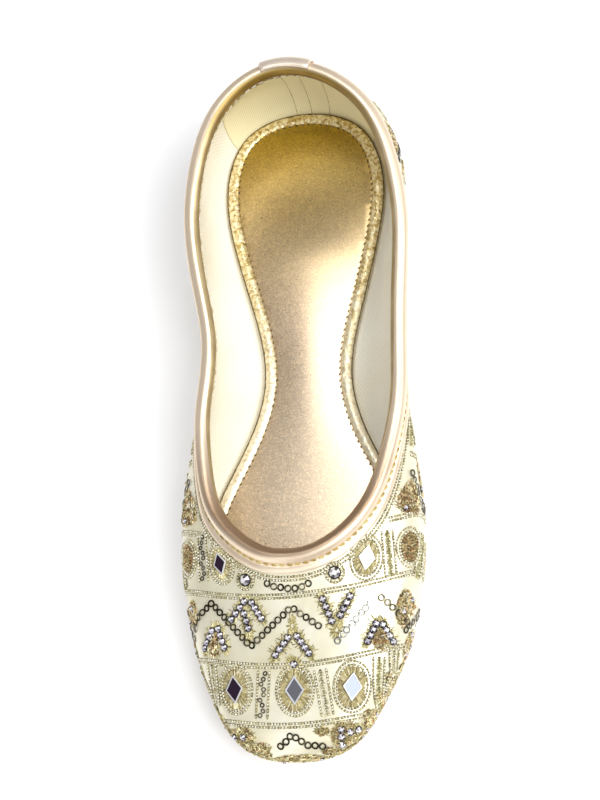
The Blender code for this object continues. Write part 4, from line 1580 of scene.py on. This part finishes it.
# Mirror ovals on the vamp: x, y, width, length in mm, turn in degrees and kind of glass; the dark kind
# carries a painted dark reflection.
MIRROR_OVALS = (
    (-26, -61.8, 10.8, 14.8, 8, "mirror_painted_dark"), (27, -62.2, 11.6, 15.6, -6, "mirror"),
    (-21.5, -106.3, 13, 17.2, 4, "mirror_painted_dark"), (0.5, -107.6, 13.4, 17.6, 0, "mirror"),
    (20.7, -106.8, 13.2, 17.6, -4, "mirror"),
)
LARGE_STONES = ((-16.4, -68.6), (16.0, -67.6))
# Chains of sequins on the vamp, by their corners x, y in mm.
SEQUIN_LINES = {
    "under_throat": ("sequin", (
        (-8.9, -69.5), (-8.0, -70.6), (-5.6, -71.7), (-2.6, -72.2),
        (0.0, -72.7), (3.0, -72.6), (5.6, -71.9), (7.8, -70.4),
    )),
    "zigzag": ("sequin", (
        (-38.5, -84), (-37, -80), (-30.2, -75.2), (-15.2, -91.8), (0.2, -79.0), (10.6, -86.4),
    )),
    # sequins painted pale, as painted glare
    "glare_rise": ("sequin_painted_glare", ((15.0, -91.6), (16.2, -91.0), (28.6, -76.8))),
    "outer_fall": ("sequin", ((30.2, -75.6), (32, -76.2), (39.4, -84))),
    "toe": ("sequin", (
        (-6.4, -126.9), (-3.6, -125.2), (-1.2, -122.6), (1.4, -124.4), (4.2, -126.2), (10.6, -126.6),
    )),
}
# Groups of stones on the vamp, each in straight lines: from x, y to x, y in mm, and how many.
STONE_GROUPS = {
    "left_arrow": (
        (-17.2, -76.0, -22.4, -81.8, 4), (-14.4, -76.6, -11.0, -82.2, 4), (-17.4, -80.2, -16.0, -85.4, 3),
    ),
    "right_vee": ((11.4, -76.6, 14.2, -84.2, 4), (20.8, -75.6, 17.2, -82.2, 4)),
    "middle_peak": ((-1.5, -89.4, -6.2, -95.2, 4), (1.7, -89.0, 5.8, -95.0, 4)),
    "under_peak": ((0.0, -98.4, 0.6, -98.9, 1),),
    "outer_peak": ((29.2, -85.0, 26.2, -91.2, 4), (31.4, -85.2, 34.4, -90.8, 4)),
    "inner_peak": ((-30.4, -85.0, -33.6, -90.6, 4), (-27.8, -84.6, -25.4, -91.4, 4)),
    "toe": (
        (16.2, -121.2, 15.9, -126.0, 3), (-19.0, -122.6, -22.6, -122.0, 2), (19.0, -122.0, 21.6, -121.0, 2),
    ),
}
LOOSE_BURSTS = (  # x, y, half width, half length in mm
    (0.2, -85.4, 1.2, 2.4), (15.8, -87.2, 1.6, 2.0), (-16.4, -87.4, 1.0, 1.4),
)
# Sequin, leaf and thread columns on the vamp: x, y, x, y in mm, and what they are made of.
COLUMNS_ON_VAMP = (
    (-33.8, -50.5, -33.4, -67.0, "sequin"), (34.2, -52.5, 34.8, -68.0, "leaf"),
    (-10.6, -100.6, -11.8, -116.8, "sequin"), (9.6, -100.8, 11.8, -116.5, "thread"),
    (29.8, -96.4, 28.6, -112.0, "leaf"), (34.6, -93.8, 33.0, -108.0, "thread"),
    (-31.0, -96.8, -29.4, -110.5, "thread"),
)
WIRE_PATCHES = (  # x, y, width, length in mm
    (-29.2, -90.0, 6.5, 9), (30.6, -90.2, 6.5, 7.5), (38.6, -79.0, 7, 13), (-38.6, -77.0, 4, 8),
)
TOE_PATCHES = (  # the same, of the belt's wires
    (-20.0, -122.8, 12, 7.5), (-27.0, -117.6, 8, 9), (-13.5, -126.6, 9, 4.5),
    (17.6, -122.8, 11, 9.5), (25.8, -117.8, 8, 9), (9.6, -121.6, 5, 3.4), (1.0, -130.4, 15, 4.5),
)


SEWN = {}  # places of everything sewn on, by kind
RANDOM = np.random.default_rng(5)


def sew(kind, places):
    SEWN.setdefault(kind, []).extend(places)


CORD_TURN = (0.94 * MM, 0.74 * MM, 0.74 * MM)  # one turn of a couched cord
CORD_PITCH = 1.1 * MM
CORD_SLANT = 0.5
STRAND_APART = 0.62 * MM  # of each strand from the middle of a doubled cord
CORD_SHADE_PAD = (2.7 * MM, 1.1 * MM, 0.34 * MM)


def couched(spots, closed=False, doubled=True):
    """Places of the turns of a couched cord, one strand or two side by side, each on a thin dark pad of
    painted shade.
    """
    rows = []
    for side in (-1, 1) if doubled else (0,):
        strand = shifted(spots, side * STRAND_APART)
        slant = -CORD_SLANT if side > 0 else CORD_SLANT
        sew("shaded_ground", bead_row(strand, 1.9 * MM, CORD_SHADE_PAD, 0.02 * MM, closed))
        rows += bead_row(strand, CORD_PITCH, CORD_TURN, 0.26 * MM, closed, slant)
    return rows


def patch(spot, turn=0.0):
    """put(a, b): the spot on the cloth a mm to the right and b mm along from a motif's middle."""
    point, normal = spot
    right, along, _ = axes(normal)
    c, s = math.cos(math.radians(turn)), math.sin(math.radians(turn))

    def put(a, b):
        return CLOTH.near(point + (right * (a * c - b * s) + along * (a * s + b * c)) * MM)

    return put


def ellipse(put, half_width_mm, half_length_mm, pointed=1.0, count=48):
    """Spots round an oval, more pointed at its ends the higher the power."""
    spots = []
    for t in np.linspace(0, 2 * np.pi, count, endpoint=False):
        across = math.copysign(abs(math.cos(t)) ** pointed, math.cos(t))
        spots.append(put(half_width_mm * across, half_length_mm * math.sin(t)))
    return spots


def stitch(put, start, end, width=0.42, height=0.4, lift=0.12):
    (p, n), (q, _) = put(*start), put(*end)
    return thread_between(p, q, n, width * MM, height * MM, lift * MM)


# spacing and size of the pads of painted shade
SHADE_PAD_STEP = 1.5  # mm
SHADE_PAD = (2.6 * MM, 2.6 * MM, 0.5 * MM)


def reach_of(b, half_width_mm, half_length_mm):
    """Half width of an oval, b mm along from its middle."""
    return half_width_mm * math.sqrt(max(0.0, 1 - (b / half_length_mm) ** 2))


def painted_shade_under(put, half_width_mm, half_length_mm, kind="brown_painted_shade", drop=0.0):
    """Flat dark pads of painted shade under a filled shape, which narrow to one end by drop."""
    pads = []
    for b in np.arange(-half_length_mm + SHADE_PAD_STEP / 2, half_length_mm, SHADE_PAD_STEP):
        reach = reach_of(b, half_width_mm, half_length_mm) * (1 - drop * b / half_length_mm)
        for a in np.arange(-reach + 0.3, reach, SHADE_PAD_STEP):
            point, normal = put(a, b)
            pads.append(placed(point, axes(normal), SHADE_PAD))
    sew(kind, pads)


GLASS_WIDTH, GLASS_LENGTH = 5.9 * MM, 8.8 * MM  # in an oval of full width
FULL_OVAL = 13  # mm
SPOKES = 62


def mirror_oval(spot, width, length, turn, glass):
    """Lozenge mirror held by spokes of thread inside two rounds of couched cord."""
    put = patch(spot, turn)
    point, normal = spot
    right, along, normal = axes(normal)
    c, s = math.cos(math.radians(turn)), math.sin(math.radians(turn))
    directions = right * c + along * s, along * c - right * s, normal
    size = width / FULL_OVAL
    sew(glass, [placed(point, directions, (size, size, 1), 0.5 * MM)])
    sew("mirror_rim", [placed(point, directions, (size, size, 1), 0.35 * MM)])
    spokes = []
    for k in range(SPOKES):
        t = 2 * math.pi * (k + 0.4 * RANDOM.random()) / SPOKES
        near, far = 0.72 + 0.12 * RANDOM.random(), 0.97 + 0.06 * RANDOM.random()
        inner = (3.3 * size * near * math.cos(t), 4.8 * size * near * math.sin(t))
        outer = ((width / 2 - 1.4) * far * math.cos(t), (length / 2 - 1.4) * far * math.sin(t))
        spokes.append(stitch(put, inner, outer, 0.4, 0.5))
    painted_shade_under(put, width / 2 - 2.0, length / 2 - 2.0, "gold_painted_shade")
    sew("spokes", spokes[::3] + spokes[1::3])
    sew("pale_fill", spokes[2::3])
    sew("oval_cord", couched(ellipse(put, width / 2 - 0.55, length / 2 - 0.55), closed=True))


FILL_WIRES = ("copper_fill", "star", "copper_fill", "spokes")
KNOT_WIRES = ("copper_fill", "copper_fill", "star", "spokes", "pale_fill")
BELT_WIRES = ("copper_fill", "star", "star", "star", "spokes")


def any_of(wires):
    return wires[int(RANDOM.integers(len(wires)))]


def wavy_fill(put, half_width_mm, half_length_mm, step=0.62):
    """Rows of short wavy stitches that cover an oval."""
    for k, b in enumerate(np.arange(-half_length_mm + 0.4, half_length_mm, step)):
        reach = reach_of(b, half_width_mm, half_length_mm)
        steps = max(2, round(2 * reach / 1.25))
        turns = np.arange(steps + 1)
        swing = 0.34 * np.where((turns + k) % 2, 1, -1) + RANDOM.normal(0, 0.12, steps + 1)
        corners = list(zip(np.linspace(-reach, reach, steps + 1), b + swing))
        for start, end in zip(corners, corners[1:]):
            kind = any_of(FILL_WIRES)
            sew(kind, [stitch(put, start, end, 0.5, 0.6, RANDOM.uniform(0.1, 0.35))])


OVAL_SHADE_PAD = (2.2 * MM, 0.9 * MM, 0.5 * MM)
OVAL_BEAD = (0.98 * MM, 0.98 * MM, 0.9 * MM)


def filled_oval(spot, width, length, turn=0.0):
    """Pointed oval packed with wavy stitches inside two rounds of beads."""
    put = patch(spot, turn)
    painted_shade_under(put, width / 2 - 2.2, length / 2 - 2.2)
    wavy_fill(put, width / 2 - 2.3, length / 2 - 2.3)
    for inset in (0.4, 1.7):
        line = ellipse(put, width / 2 - inset, length / 2 - inset, 1.15)
        # painted shade between the beads
        sew("shaded_ground", bead_row(line, 1.3 * MM, OVAL_SHADE_PAD, 0.05 * MM, True))
        sew("oval_bead", bead_row(line, 1.12 * MM, OVAL_BEAD, 0.3 * MM, True))


def sequin_chain(spots, kind="sequin", pitch=2.6):
    """Overlapping sequins, tilted forwards and backwards by turns."""
    places = []
    for k, (point, ahead, normal) in enumerate(zip(*even_steps(spots, pitch * MM))):
        tilted = normal + ahead * (0.18 + 0.08 * RANDOM.normal()) * (1 if k % 2 else -1)
        places.append(placed(point, axes(tilted, ahead), lift=(0.3 + 0.15 * (k % 2)) * MM))
    sew(kind, places)


STONE_SIZE = 2.4  # mm


def stone(spot, size=STONE_SIZE, threads=13):
    """Stone in its setting, with a few short gold threads that show round it."""
    point, normal = spot
    directions = axes(normal + RANDOM.normal(0, 0.06, 3))
    sew("stone", [placed(point, directions, (size * MM,) * 3, 0.2 * MM)])
    sew("setting", [placed(point, directions, (size / STONE_SIZE,) * 3, 0.3 * MM)])
    put = patch(spot)
    near = size * 0.45
    rays = []
    for _ in range(threads):
        t = 2 * math.pi * RANDOM.random()
        far = size * RANDOM.uniform(0.9, 1.7)
        lean = t + RANDOM.normal(0, 0.3)
        start = (near * math.cos(t), near * math.sin(t))
        end = (far * math.cos(lean), far * math.sin(lean))
        rays.append(stitch(put, start, end, 0.38, 0.36, 0.1))
    sew("star", rays)


def burst(put, across, along, count, inner, reach, drop=0.0):
    """Short gold threads that stand out round a group."""
    rays = []
    for k in range(count):
        t = 2 * math.pi * (k + RANDOM.random()) / count
        narrow = across * (1 - drop * math.sin(t))
        start = (narrow * inner * math.cos(t), along * inner * math.sin(t))
        far = 1 + reach * RANDOM.uniform(0.4, 1.1) / max(across, along)
        lean = t + RANDOM.normal(0, 0.15)
        end = (narrow * far * math.cos(lean), along * far * math.sin(lean))
        rays.append(stitch(put, start, end, 0.42, 0.4))
    sew("star", rays)


def wire_patch(spot, width, length, stones=3, turn=0.0, drop=0.0, wires=KNOT_WIRES):
    """Rough knot of copper and gold wire, which may run to a point, with a few stones in it."""
    put = patch(spot, turn)
    painted_shade_under(put, width / 2 - 0.8, length / 2 - 0.8, drop=drop)
    for _ in range(int(width * length * 2.1)):
        r, t = math.sqrt(RANDOM.random()), RANDOM.random() * 2 * math.pi
        a = width / 2 * r * math.cos(t) * (1 - drop * r * math.sin(t))
        b = length / 2 * r * math.sin(t)
        lean, reach = RANDOM.random() * math.pi, RANDOM.uniform(0.35, 0.95)
        da, db = reach * math.cos(lean), reach * math.sin(lean)
        kind = any_of(wires)
        sew(kind, [stitch(put, (a - da, b - db), (a + da, b + db), 0.5, 0.6, RANDOM.uniform(0.1, 0.6))])
    for k in range(stones):
        across = width * 0.2 * (1 if k % 2 else -1)
        stone(put(across, length * (k / max(stones - 1, 1) - 0.5) * 0.66), 1.9, 0)
    burst(put, width / 2, length / 2, int((width + length) * 1.6), 0.9, 0.9, drop)


LEAF_SHADE_PAD = (2.2 * MM, 1.5 * MM, 0.4 * MM)


def thread_column(spots, kind):
    """Upright band between two cords: small sequins, leaves or plain thread."""
    if kind == "sequin":
        wave = [(p + axes(n)[0] * 0.8 * MM * math.sin(k * 1.1), n) for k, (p, n) in enumerate(spots)]
        sequin_chain(wave, "small_sequin", 2.1)
    else:
        # painted shade between the leaves
        sew("shaded_ground", bead_row(spots, 1.4 * MM, LEAF_SHADE_PAD, 0.0))
        places = []
        for point, ahead, normal in zip(*even_steps(spots, 0.9 * MM)):
            right = np.cross(ahead, normal)
            for side in (-1, 1):
                tip = point + right * side * 1.2 * MM + ahead * RANDOM.uniform(0.7, 1.3) * MM
                places.append(thread_between(point, tip, normal, 0.55 * MM, 0.6 * MM, 0.2 * MM))
        sew("leaf" if kind == "leaf" else "pale_fill", places)
    for side in (-2.1, 2.1):
        sew("border_cord", couched(shifted(spots, side * MM), doubled=False))


def path_through(points, spot_at, step):
    """Spots at steps of about so many mm along straight stretches between points."""
    spots = []
    for (a0, b0), (a1, b1) in zip(points, points[1:]):
        count = max(2, int(math.dist((a0, b0), (a1, b1)) / step))
        for k in range(count):
            spots.append(spot_at(a0 + (a1 - a0) * k / count, b0 + (b1 - b0) * k / count))
    return spots + [spot_at(*points[-1])]


def vamp_line(points):
    """Path over the vamp through points (x, y) of the plan, in mm."""
    return path_through(points, CLOTH.plan, 1.0)


def side_line(side, points, step=1.5):
    """Path on a wall through points (y, up) in mm."""
    return path_through(points, lambda y, up: CLOTH.side(side, y, up), step)


BORDER_CLEAR = FLANGE_OUTSIDE + 3.2 * MM  # the borders stop this far below the top edge


def sew_borders():
    """Doubled cords over the vamp, up the sides, under the binding and along the sole."""
    for middle, tilt, bow in VAMP_BORDERS.values():
        spots = CLOTH.over(lambda x: middle + tilt * x + bow * x * x, np.arange(-112, 113, 2.0))
        stretches = [[]]
        for point, normal in spots:
            low = point[2] < float(sole_top(point[1])) + 2 * MM
            if low or CLOTH.down_of(point) < BORDER_CLEAR:
                stretches.append([])
            else:
                stretches[-1].append((point, normal))
        for stretch in stretches:
            if len(stretch) > 4:
                sew("border_cord", couched(stretch))
    for side, lines in SIDE_BORDERS.items():
        for y in lines:
            top = CLOTH.height(side, y) - BORDER_CLEAR / MM
            spots = [CLOTH.side(side, y, up) for up in np.arange(2, top, 1.5)]
            sew("border_cord", couched(spots))
    sew("edge_cord", couched(topline_spots(FLANGE_OUTSIDE + 1.9 * MM, 0.0), closed=True))
    wall = WALL_SHAPE
    s = np.linspace(0, wall.count, 1200, endpoint=False)
    points, normals = wall.at(s, wall.depth(s) - 2.0 * MM)
    sew("edge_cord", couched(list(zip(points, normals)), closed=True))


def sew_stone_line(x0, y0, x1, y1, count):
    """Stones from x0, y0 to x1, y1, and the threads that stand out round them all."""
    for t in np.linspace(0, 1, count) if count > 1 else (0.5,):
        stone(CLOTH.plan(x0 + (x1 - x0) * t, y0 + (y1 - y0) * t))
    reach = math.dist((x0, y0), (x1, y1)) / 2
    turn = math.degrees(math.atan2(-(x1 - x0), y1 - y0))
    burst(patch(CLOTH.plan((x0 + x1) / 2, (y0 + y1) / 2), turn), 1.4, reach + 1.4, 76, 0.7, 2.5)


def sew_vamp():
    for x, y, width, length, turn, glass in MIRROR_OVALS:
        mirror_oval(CLOTH.plan(x, y), width, length, turn, glass)
    for x, y in LARGE_STONES:
        spot = CLOTH.plan(x, y)
        stone(spot, 4.0, 0)
        sew("oval_cord", couched(ellipse(patch(spot), 3.3, 3.5, count=30), closed=True, doubled=False))
        burst(patch(spot), 2.2, 2.2, 34, 0.8, 1.2)
    for kind, line in SEQUIN_LINES.values():
        sequin_chain(vamp_line(line), kind)
    for group in STONE_GROUPS.values():
        for line in group:
            sew_stone_line(*line)
    for x, y, across, along in LOOSE_BURSTS:
        burst(patch(CLOTH.plan(x, y)), across, along, 44, 0.3, 2.4)
    for x0, y0, x1, y1, kind in COLUMNS_ON_VAMP:
        thread_column(vamp_line(((x0, y0), (x1, y1))), kind)
    for x, y, width, length in WIRE_PATCHES:
        wire_patch(CLOTH.plan(x, y), width, length, 0)
    for x, y, width, length in TOE_PATCHES:
        wire_patch(CLOTH.plan(x, y), width, length, 0, wires=BELT_WIRES)


def sew_forefoot_sides():
    """Lower walls beside the vamp, down to the sole, and the belt of wire round the toe."""
    for side in (1, -1):
        filled_oval(CLOTH.side(side, -57.5, 32), 12, 15)
        filled_oval(CLOTH.side(side, -60, 12.5), 13, 14)
        thread_column(side_line(side, ((-51.5, 21.8), (-67.5, 21.8)), 1.0), "leaf")
        sequin_chain(side_line(side, ((-87, 21), (-77, 10), (-82, 4))))
        wire_patch(CLOTH.side(side, -90.5, 12), 10, 11, 3)
        wire_patch(CLOTH.side(side, -78, 24), 9, 7, 2)
        filled_oval(CLOTH.side(side, -105, 11), 12, 13)
        wire_patch(CLOTH.side(side, -118, 11), 11, 9, 3)
    wall = WALL_SHAPE
    for k in range(-6, 7):
        s = wall.toe + 9 * k
        point, normal = wall.at(s, wall.depth(s) - (9.0 + 0.8 * (k % 2)) * MM)
        wire_patch((point[0], normal[0]), 9, 8.5, k % 2, wires=BELT_WIRES)
        point, normal = wall.at(s + 4, wall.depth(s) - 13.8 * MM)
        wire_patch((point[0], normal[0]), 9, 4.4, 0, wires=BELT_WIRES)


BANDS_START, BANDS_END = -46.5, 121  # mm along the shoe


def sew_side_bands():
    """Bands along the walls behind the vamp: ovals between zigzags with wire knots."""
    for side, lines in SIDE_BORDERS.items():
        edges = [BANDS_START, *lines, BANDS_END]
        for k, (first, last) in enumerate(zip(edges, edges[1:])):
            middle, span = (first + last) / 2, last - first
            height = CLOTH.height(side, middle)
            if k % 2:
                filled_oval(CLOTH.side(side, middle, height * 0.40), 16, min(span - 2.6, 20))
                if height > 34:
                    ends = (middle + span * 0.34, height * 0.80), (middle - span * 0.34, height * 0.80)
                    thread_column(side_line(side, ends, 1.0), "leaf")
                continue
            flip = 1 if k % 4 == 0 else -1

            def at(share):
                return middle + flip * (share - 0.5) * span

            low, peak, high = (at(0.80), 3.5), (at(0.12), height * 0.36), (at(0.74), height * 0.72)
            sequin_chain(side_line(side, (low, peak, high)))
            inwards, outwards = (180, 0) if flip > 0 else (0, 180)
            wire_patch(CLOTH.side(side, at(0.70), height * 0.37), 12, span * 0.56, 2, inwards, 0.6)
            wire_patch(CLOTH.side(side, at(0.30), height * 0.70), 10, span * 0.56, 1, outwards, 0.6)
            wire_patch(CLOTH.side(side, at(0.27), height * 0.10), 7, span * 0.46, 0, outwards, 0.6)


# painted reflections on the sides of a stone
STONE_FACET_REFLECTIONS = (0.9, 0.0, 1.0, 0.35, 1.0, 0.0, 0.45, 0.1)  # how light each side of a stone is, round it
FLAT_FACED = ("stone", "mirror", "mirror_painted_dark", "mirror_rim")


def finish_embroidery():
    """Makes one piece of each kind of thing that is sewn on."""
    sequin = ring_shape(1.06 * MM, 0.68 * MM, 0.34 * MM)
    small = ring_shape(0.70 * MM, 0.46 * MM, 0.3 * MM, 10)
    claw = ring_shape(1.2 * MM, 0.5 * MM, 0.6 * MM, 12)
    glass = lozenge_shape(GLASS_WIDTH, GLASS_LENGTH, 0.5 * MM, 0.25 * MM)
    rim = frame_shape(GLASS_WIDTH + 0.7 * MM, GLASS_LENGTH + 1.0 * MM, 0.3 * MM, 0.7 * MM)
    makes = {  # the piece's name, the shape of one and its finish
        # dark pads of painted shade under cords, fills and mirror spokes
        "shaded_ground": ("cord_painted_shade", BEAD, THREAD["olive_painted_shade"]),
        "brown_painted_shade": ("fill_painted_shade", BEAD, THREAD["brown_painted_shade"]),
        "gold_painted_shade": ("mirror_painted_shade", BEAD, THREAD["gold_painted_shade"]),
        "border_cord": ("border_cords", BEAD, THREAD["pale_gold_zari"]),
        "edge_cord": ("edge_cords", BEAD, THREAD["pale_gold_zari"]),
        "oval_cord": ("oval_cords", BEAD, THREAD["pale_gold_zari"]),
        "oval_bead": ("oval_beads", BEAD, THREAD["pale_gold_zari"]),
        "spokes": ("oval_spokes", WIRE, THREAD["deep_gold_zari"]),
        "copper_fill": ("copper_wires", WIRE, THREAD["copper_zari"]),
        "pale_fill": ("pale_wires", WIRE, THREAD["pale_gold_zari"]),
        "star": ("thread_bursts", WIRE, THREAD["olive_gold_zari"]),
        "leaf": ("leaf_columns", STITCH, THREAD["olive_zari"]),
        "sequin": ("ring_sequins", sequin, ORNAMENT["gunmetal_sequin"]),
        "sequin_painted_glare": ("sequins_painted_glare", sequin, ORNAMENT["sequin_painted_glare"]),
        "small_sequin": ("small_sequins", small, ORNAMENT["gunmetal_sequin"]),
        "stone": ("cut_stones", template(stone_shape), STONE),
        "setting": ("stone_settings", claw, ORNAMENT["dark_setting_and_shade"]),
        "mirror": ("mirrors", glass, ORNAMENT["mirror_glass"]),
        "mirror_painted_dark": ("mirrors_painted_dark", glass, ORNAMENT["mirror_glass_painted_dark_reflection"]),
        "mirror_rim": ("mirror_rims", rim, ORNAMENT["mirror_rim"]),
    }
    for kind, places in SEWN.items():
        name, shape, finish = makes[kind]
        facets = STONE_FACET_REFLECTIONS if kind == "stone" else ()
        scatter(name, shape, places, finish, smooth=kind not in FLAT_FACED, facets=facets)


# ------------------------------------------------------------------ stage

LIGHT_AIM = Vector((0, 0, 0.02))
KEY_PLACE, KEY_SOFTNESS, KEY_POWER = (0.60, -0.22, 0.77), math.radians(38), 2.5
WHITE = (1, 1, 1)
PANELS = {  # place, width and height in metres, power and colour
    "overhead": ((0.06, 0.37, 1.20), (0.52, 0.28), 4.0, WHITE),
    "fill": ((0.42, -0.56, 1.20), (1.1, 0.8), 2.4, (0.80, 0.89, 1.0)),
    "front": ((-0.32, -0.86, 1.12), (0.6, 0.44), 1.8, WHITE),
    "heel": ((0.95, 1.0, 0.5), (1.6, 1.0), 2.6, WHITE),
    "toe": ((-0.9, -1.2, 0.45), (1.4, 0.8), 5.0, WHITE),
    "left": ((-1.0, 0.55, 0.7), (1.0, 0.6), 0.6, WHITE),
}
STUDIO_TINT = (0.98, 0.96, 1.0, 1)
STUDIO_POWER = 0.2

CAMERA_PLACE = Vector((0.1472, -0.2088, 0.6606))
CAMERA_AIM = Vector((0.0, 0.002, 0.024))
SENSOR = 36.0
LENS = 83.0


def light(name, kind, place, power):
    """Adds a light that shines on the shoe and returns its data."""
    data = bpy.data.lights.new(name, kind)
    data.energy = power
    obj = bpy.data.objects.new(name, data)
    bpy.context.scene.collection.objects.link(obj)
    obj.location = place
    obj.rotation_euler = (LIGHT_AIM - Vector(place)).to_track_quat("-Z", "Y").to_euler()
    return data


def make_lights():
    """A broad soft key from the wearer's left, panels round the shoe and a pale studio."""
    light("key", "SUN", KEY_PLACE, KEY_POWER).angle = KEY_SOFTNESS
    for name, (place, size, power, colour) in PANELS.items():
        panel = light(name, "AREA", place, power)
        panel.shape = "RECTANGLE"
        panel.size, panel.size_y = size
        panel.color = colour
    world = bpy.data.worlds.new("studio")
    bpy.context.scene.world = world
    world.use_nodes = True
    studio = world.node_tree.nodes["Background"].inputs
    studio["Color"].default_value = STUDIO_TINT
    studio["Strength"].default_value = STUDIO_POWER
    bpy.context.scene.view_settings.view_transform = "Standard"


def make_camera():
    """Looks down on the toe from the wearer's left, the shoe upright in the frame."""
    data = bpy.data.cameras.new("camera")
    data.sensor_width = SENSOR
    data.lens = LENS
    camera = bpy.data.objects.new("camera", data)
    bpy.context.scene.collection.objects.link(camera)
    forward = (CAMERA_AIM - CAMERA_PLACE).normalized()
    right = forward.cross(Vector((0, 1, 0))).normalized()
    turn = Matrix((right, right.cross(forward), -forward)).transposed()
    camera.matrix_world = Matrix.Translation(CAMERA_PLACE) @ turn.to_4x4()
    bpy.context.scene.camera = camera


def make_floor():
    bm = bmesh.new()
    bmesh.ops.create_grid(bm, x_segments=1, y_segments=1, size=3)
    bmesh.ops.translate(bm, vec=(0, 0, -0.05 * MM), verts=bm.verts)
    floor = bpy.data.objects.new("floor", to_mesh("floor", bm))
    floor.data.materials.append(floor_finish())
    bpy.context.scene.collection.objects.link(floor)


# ------------------------------------------------------------------ the shoe

def main():
    make_upper_satin()
    make_lining()
    make_heel_grip()
    make_binding()
    make_backstay()
    make_sock()
    make_piping()
    make_sole_body()
    make_truss_tread()
    make_wave_tread()
    make_waist_panel()
    make_sole_marks()
    sew_borders()
    sew_vamp()
    sew_forefoot_sides()
    sew_side_bands()
    finish_embroidery()
    make_floor()
    make_lights()
    make_camera()


main()
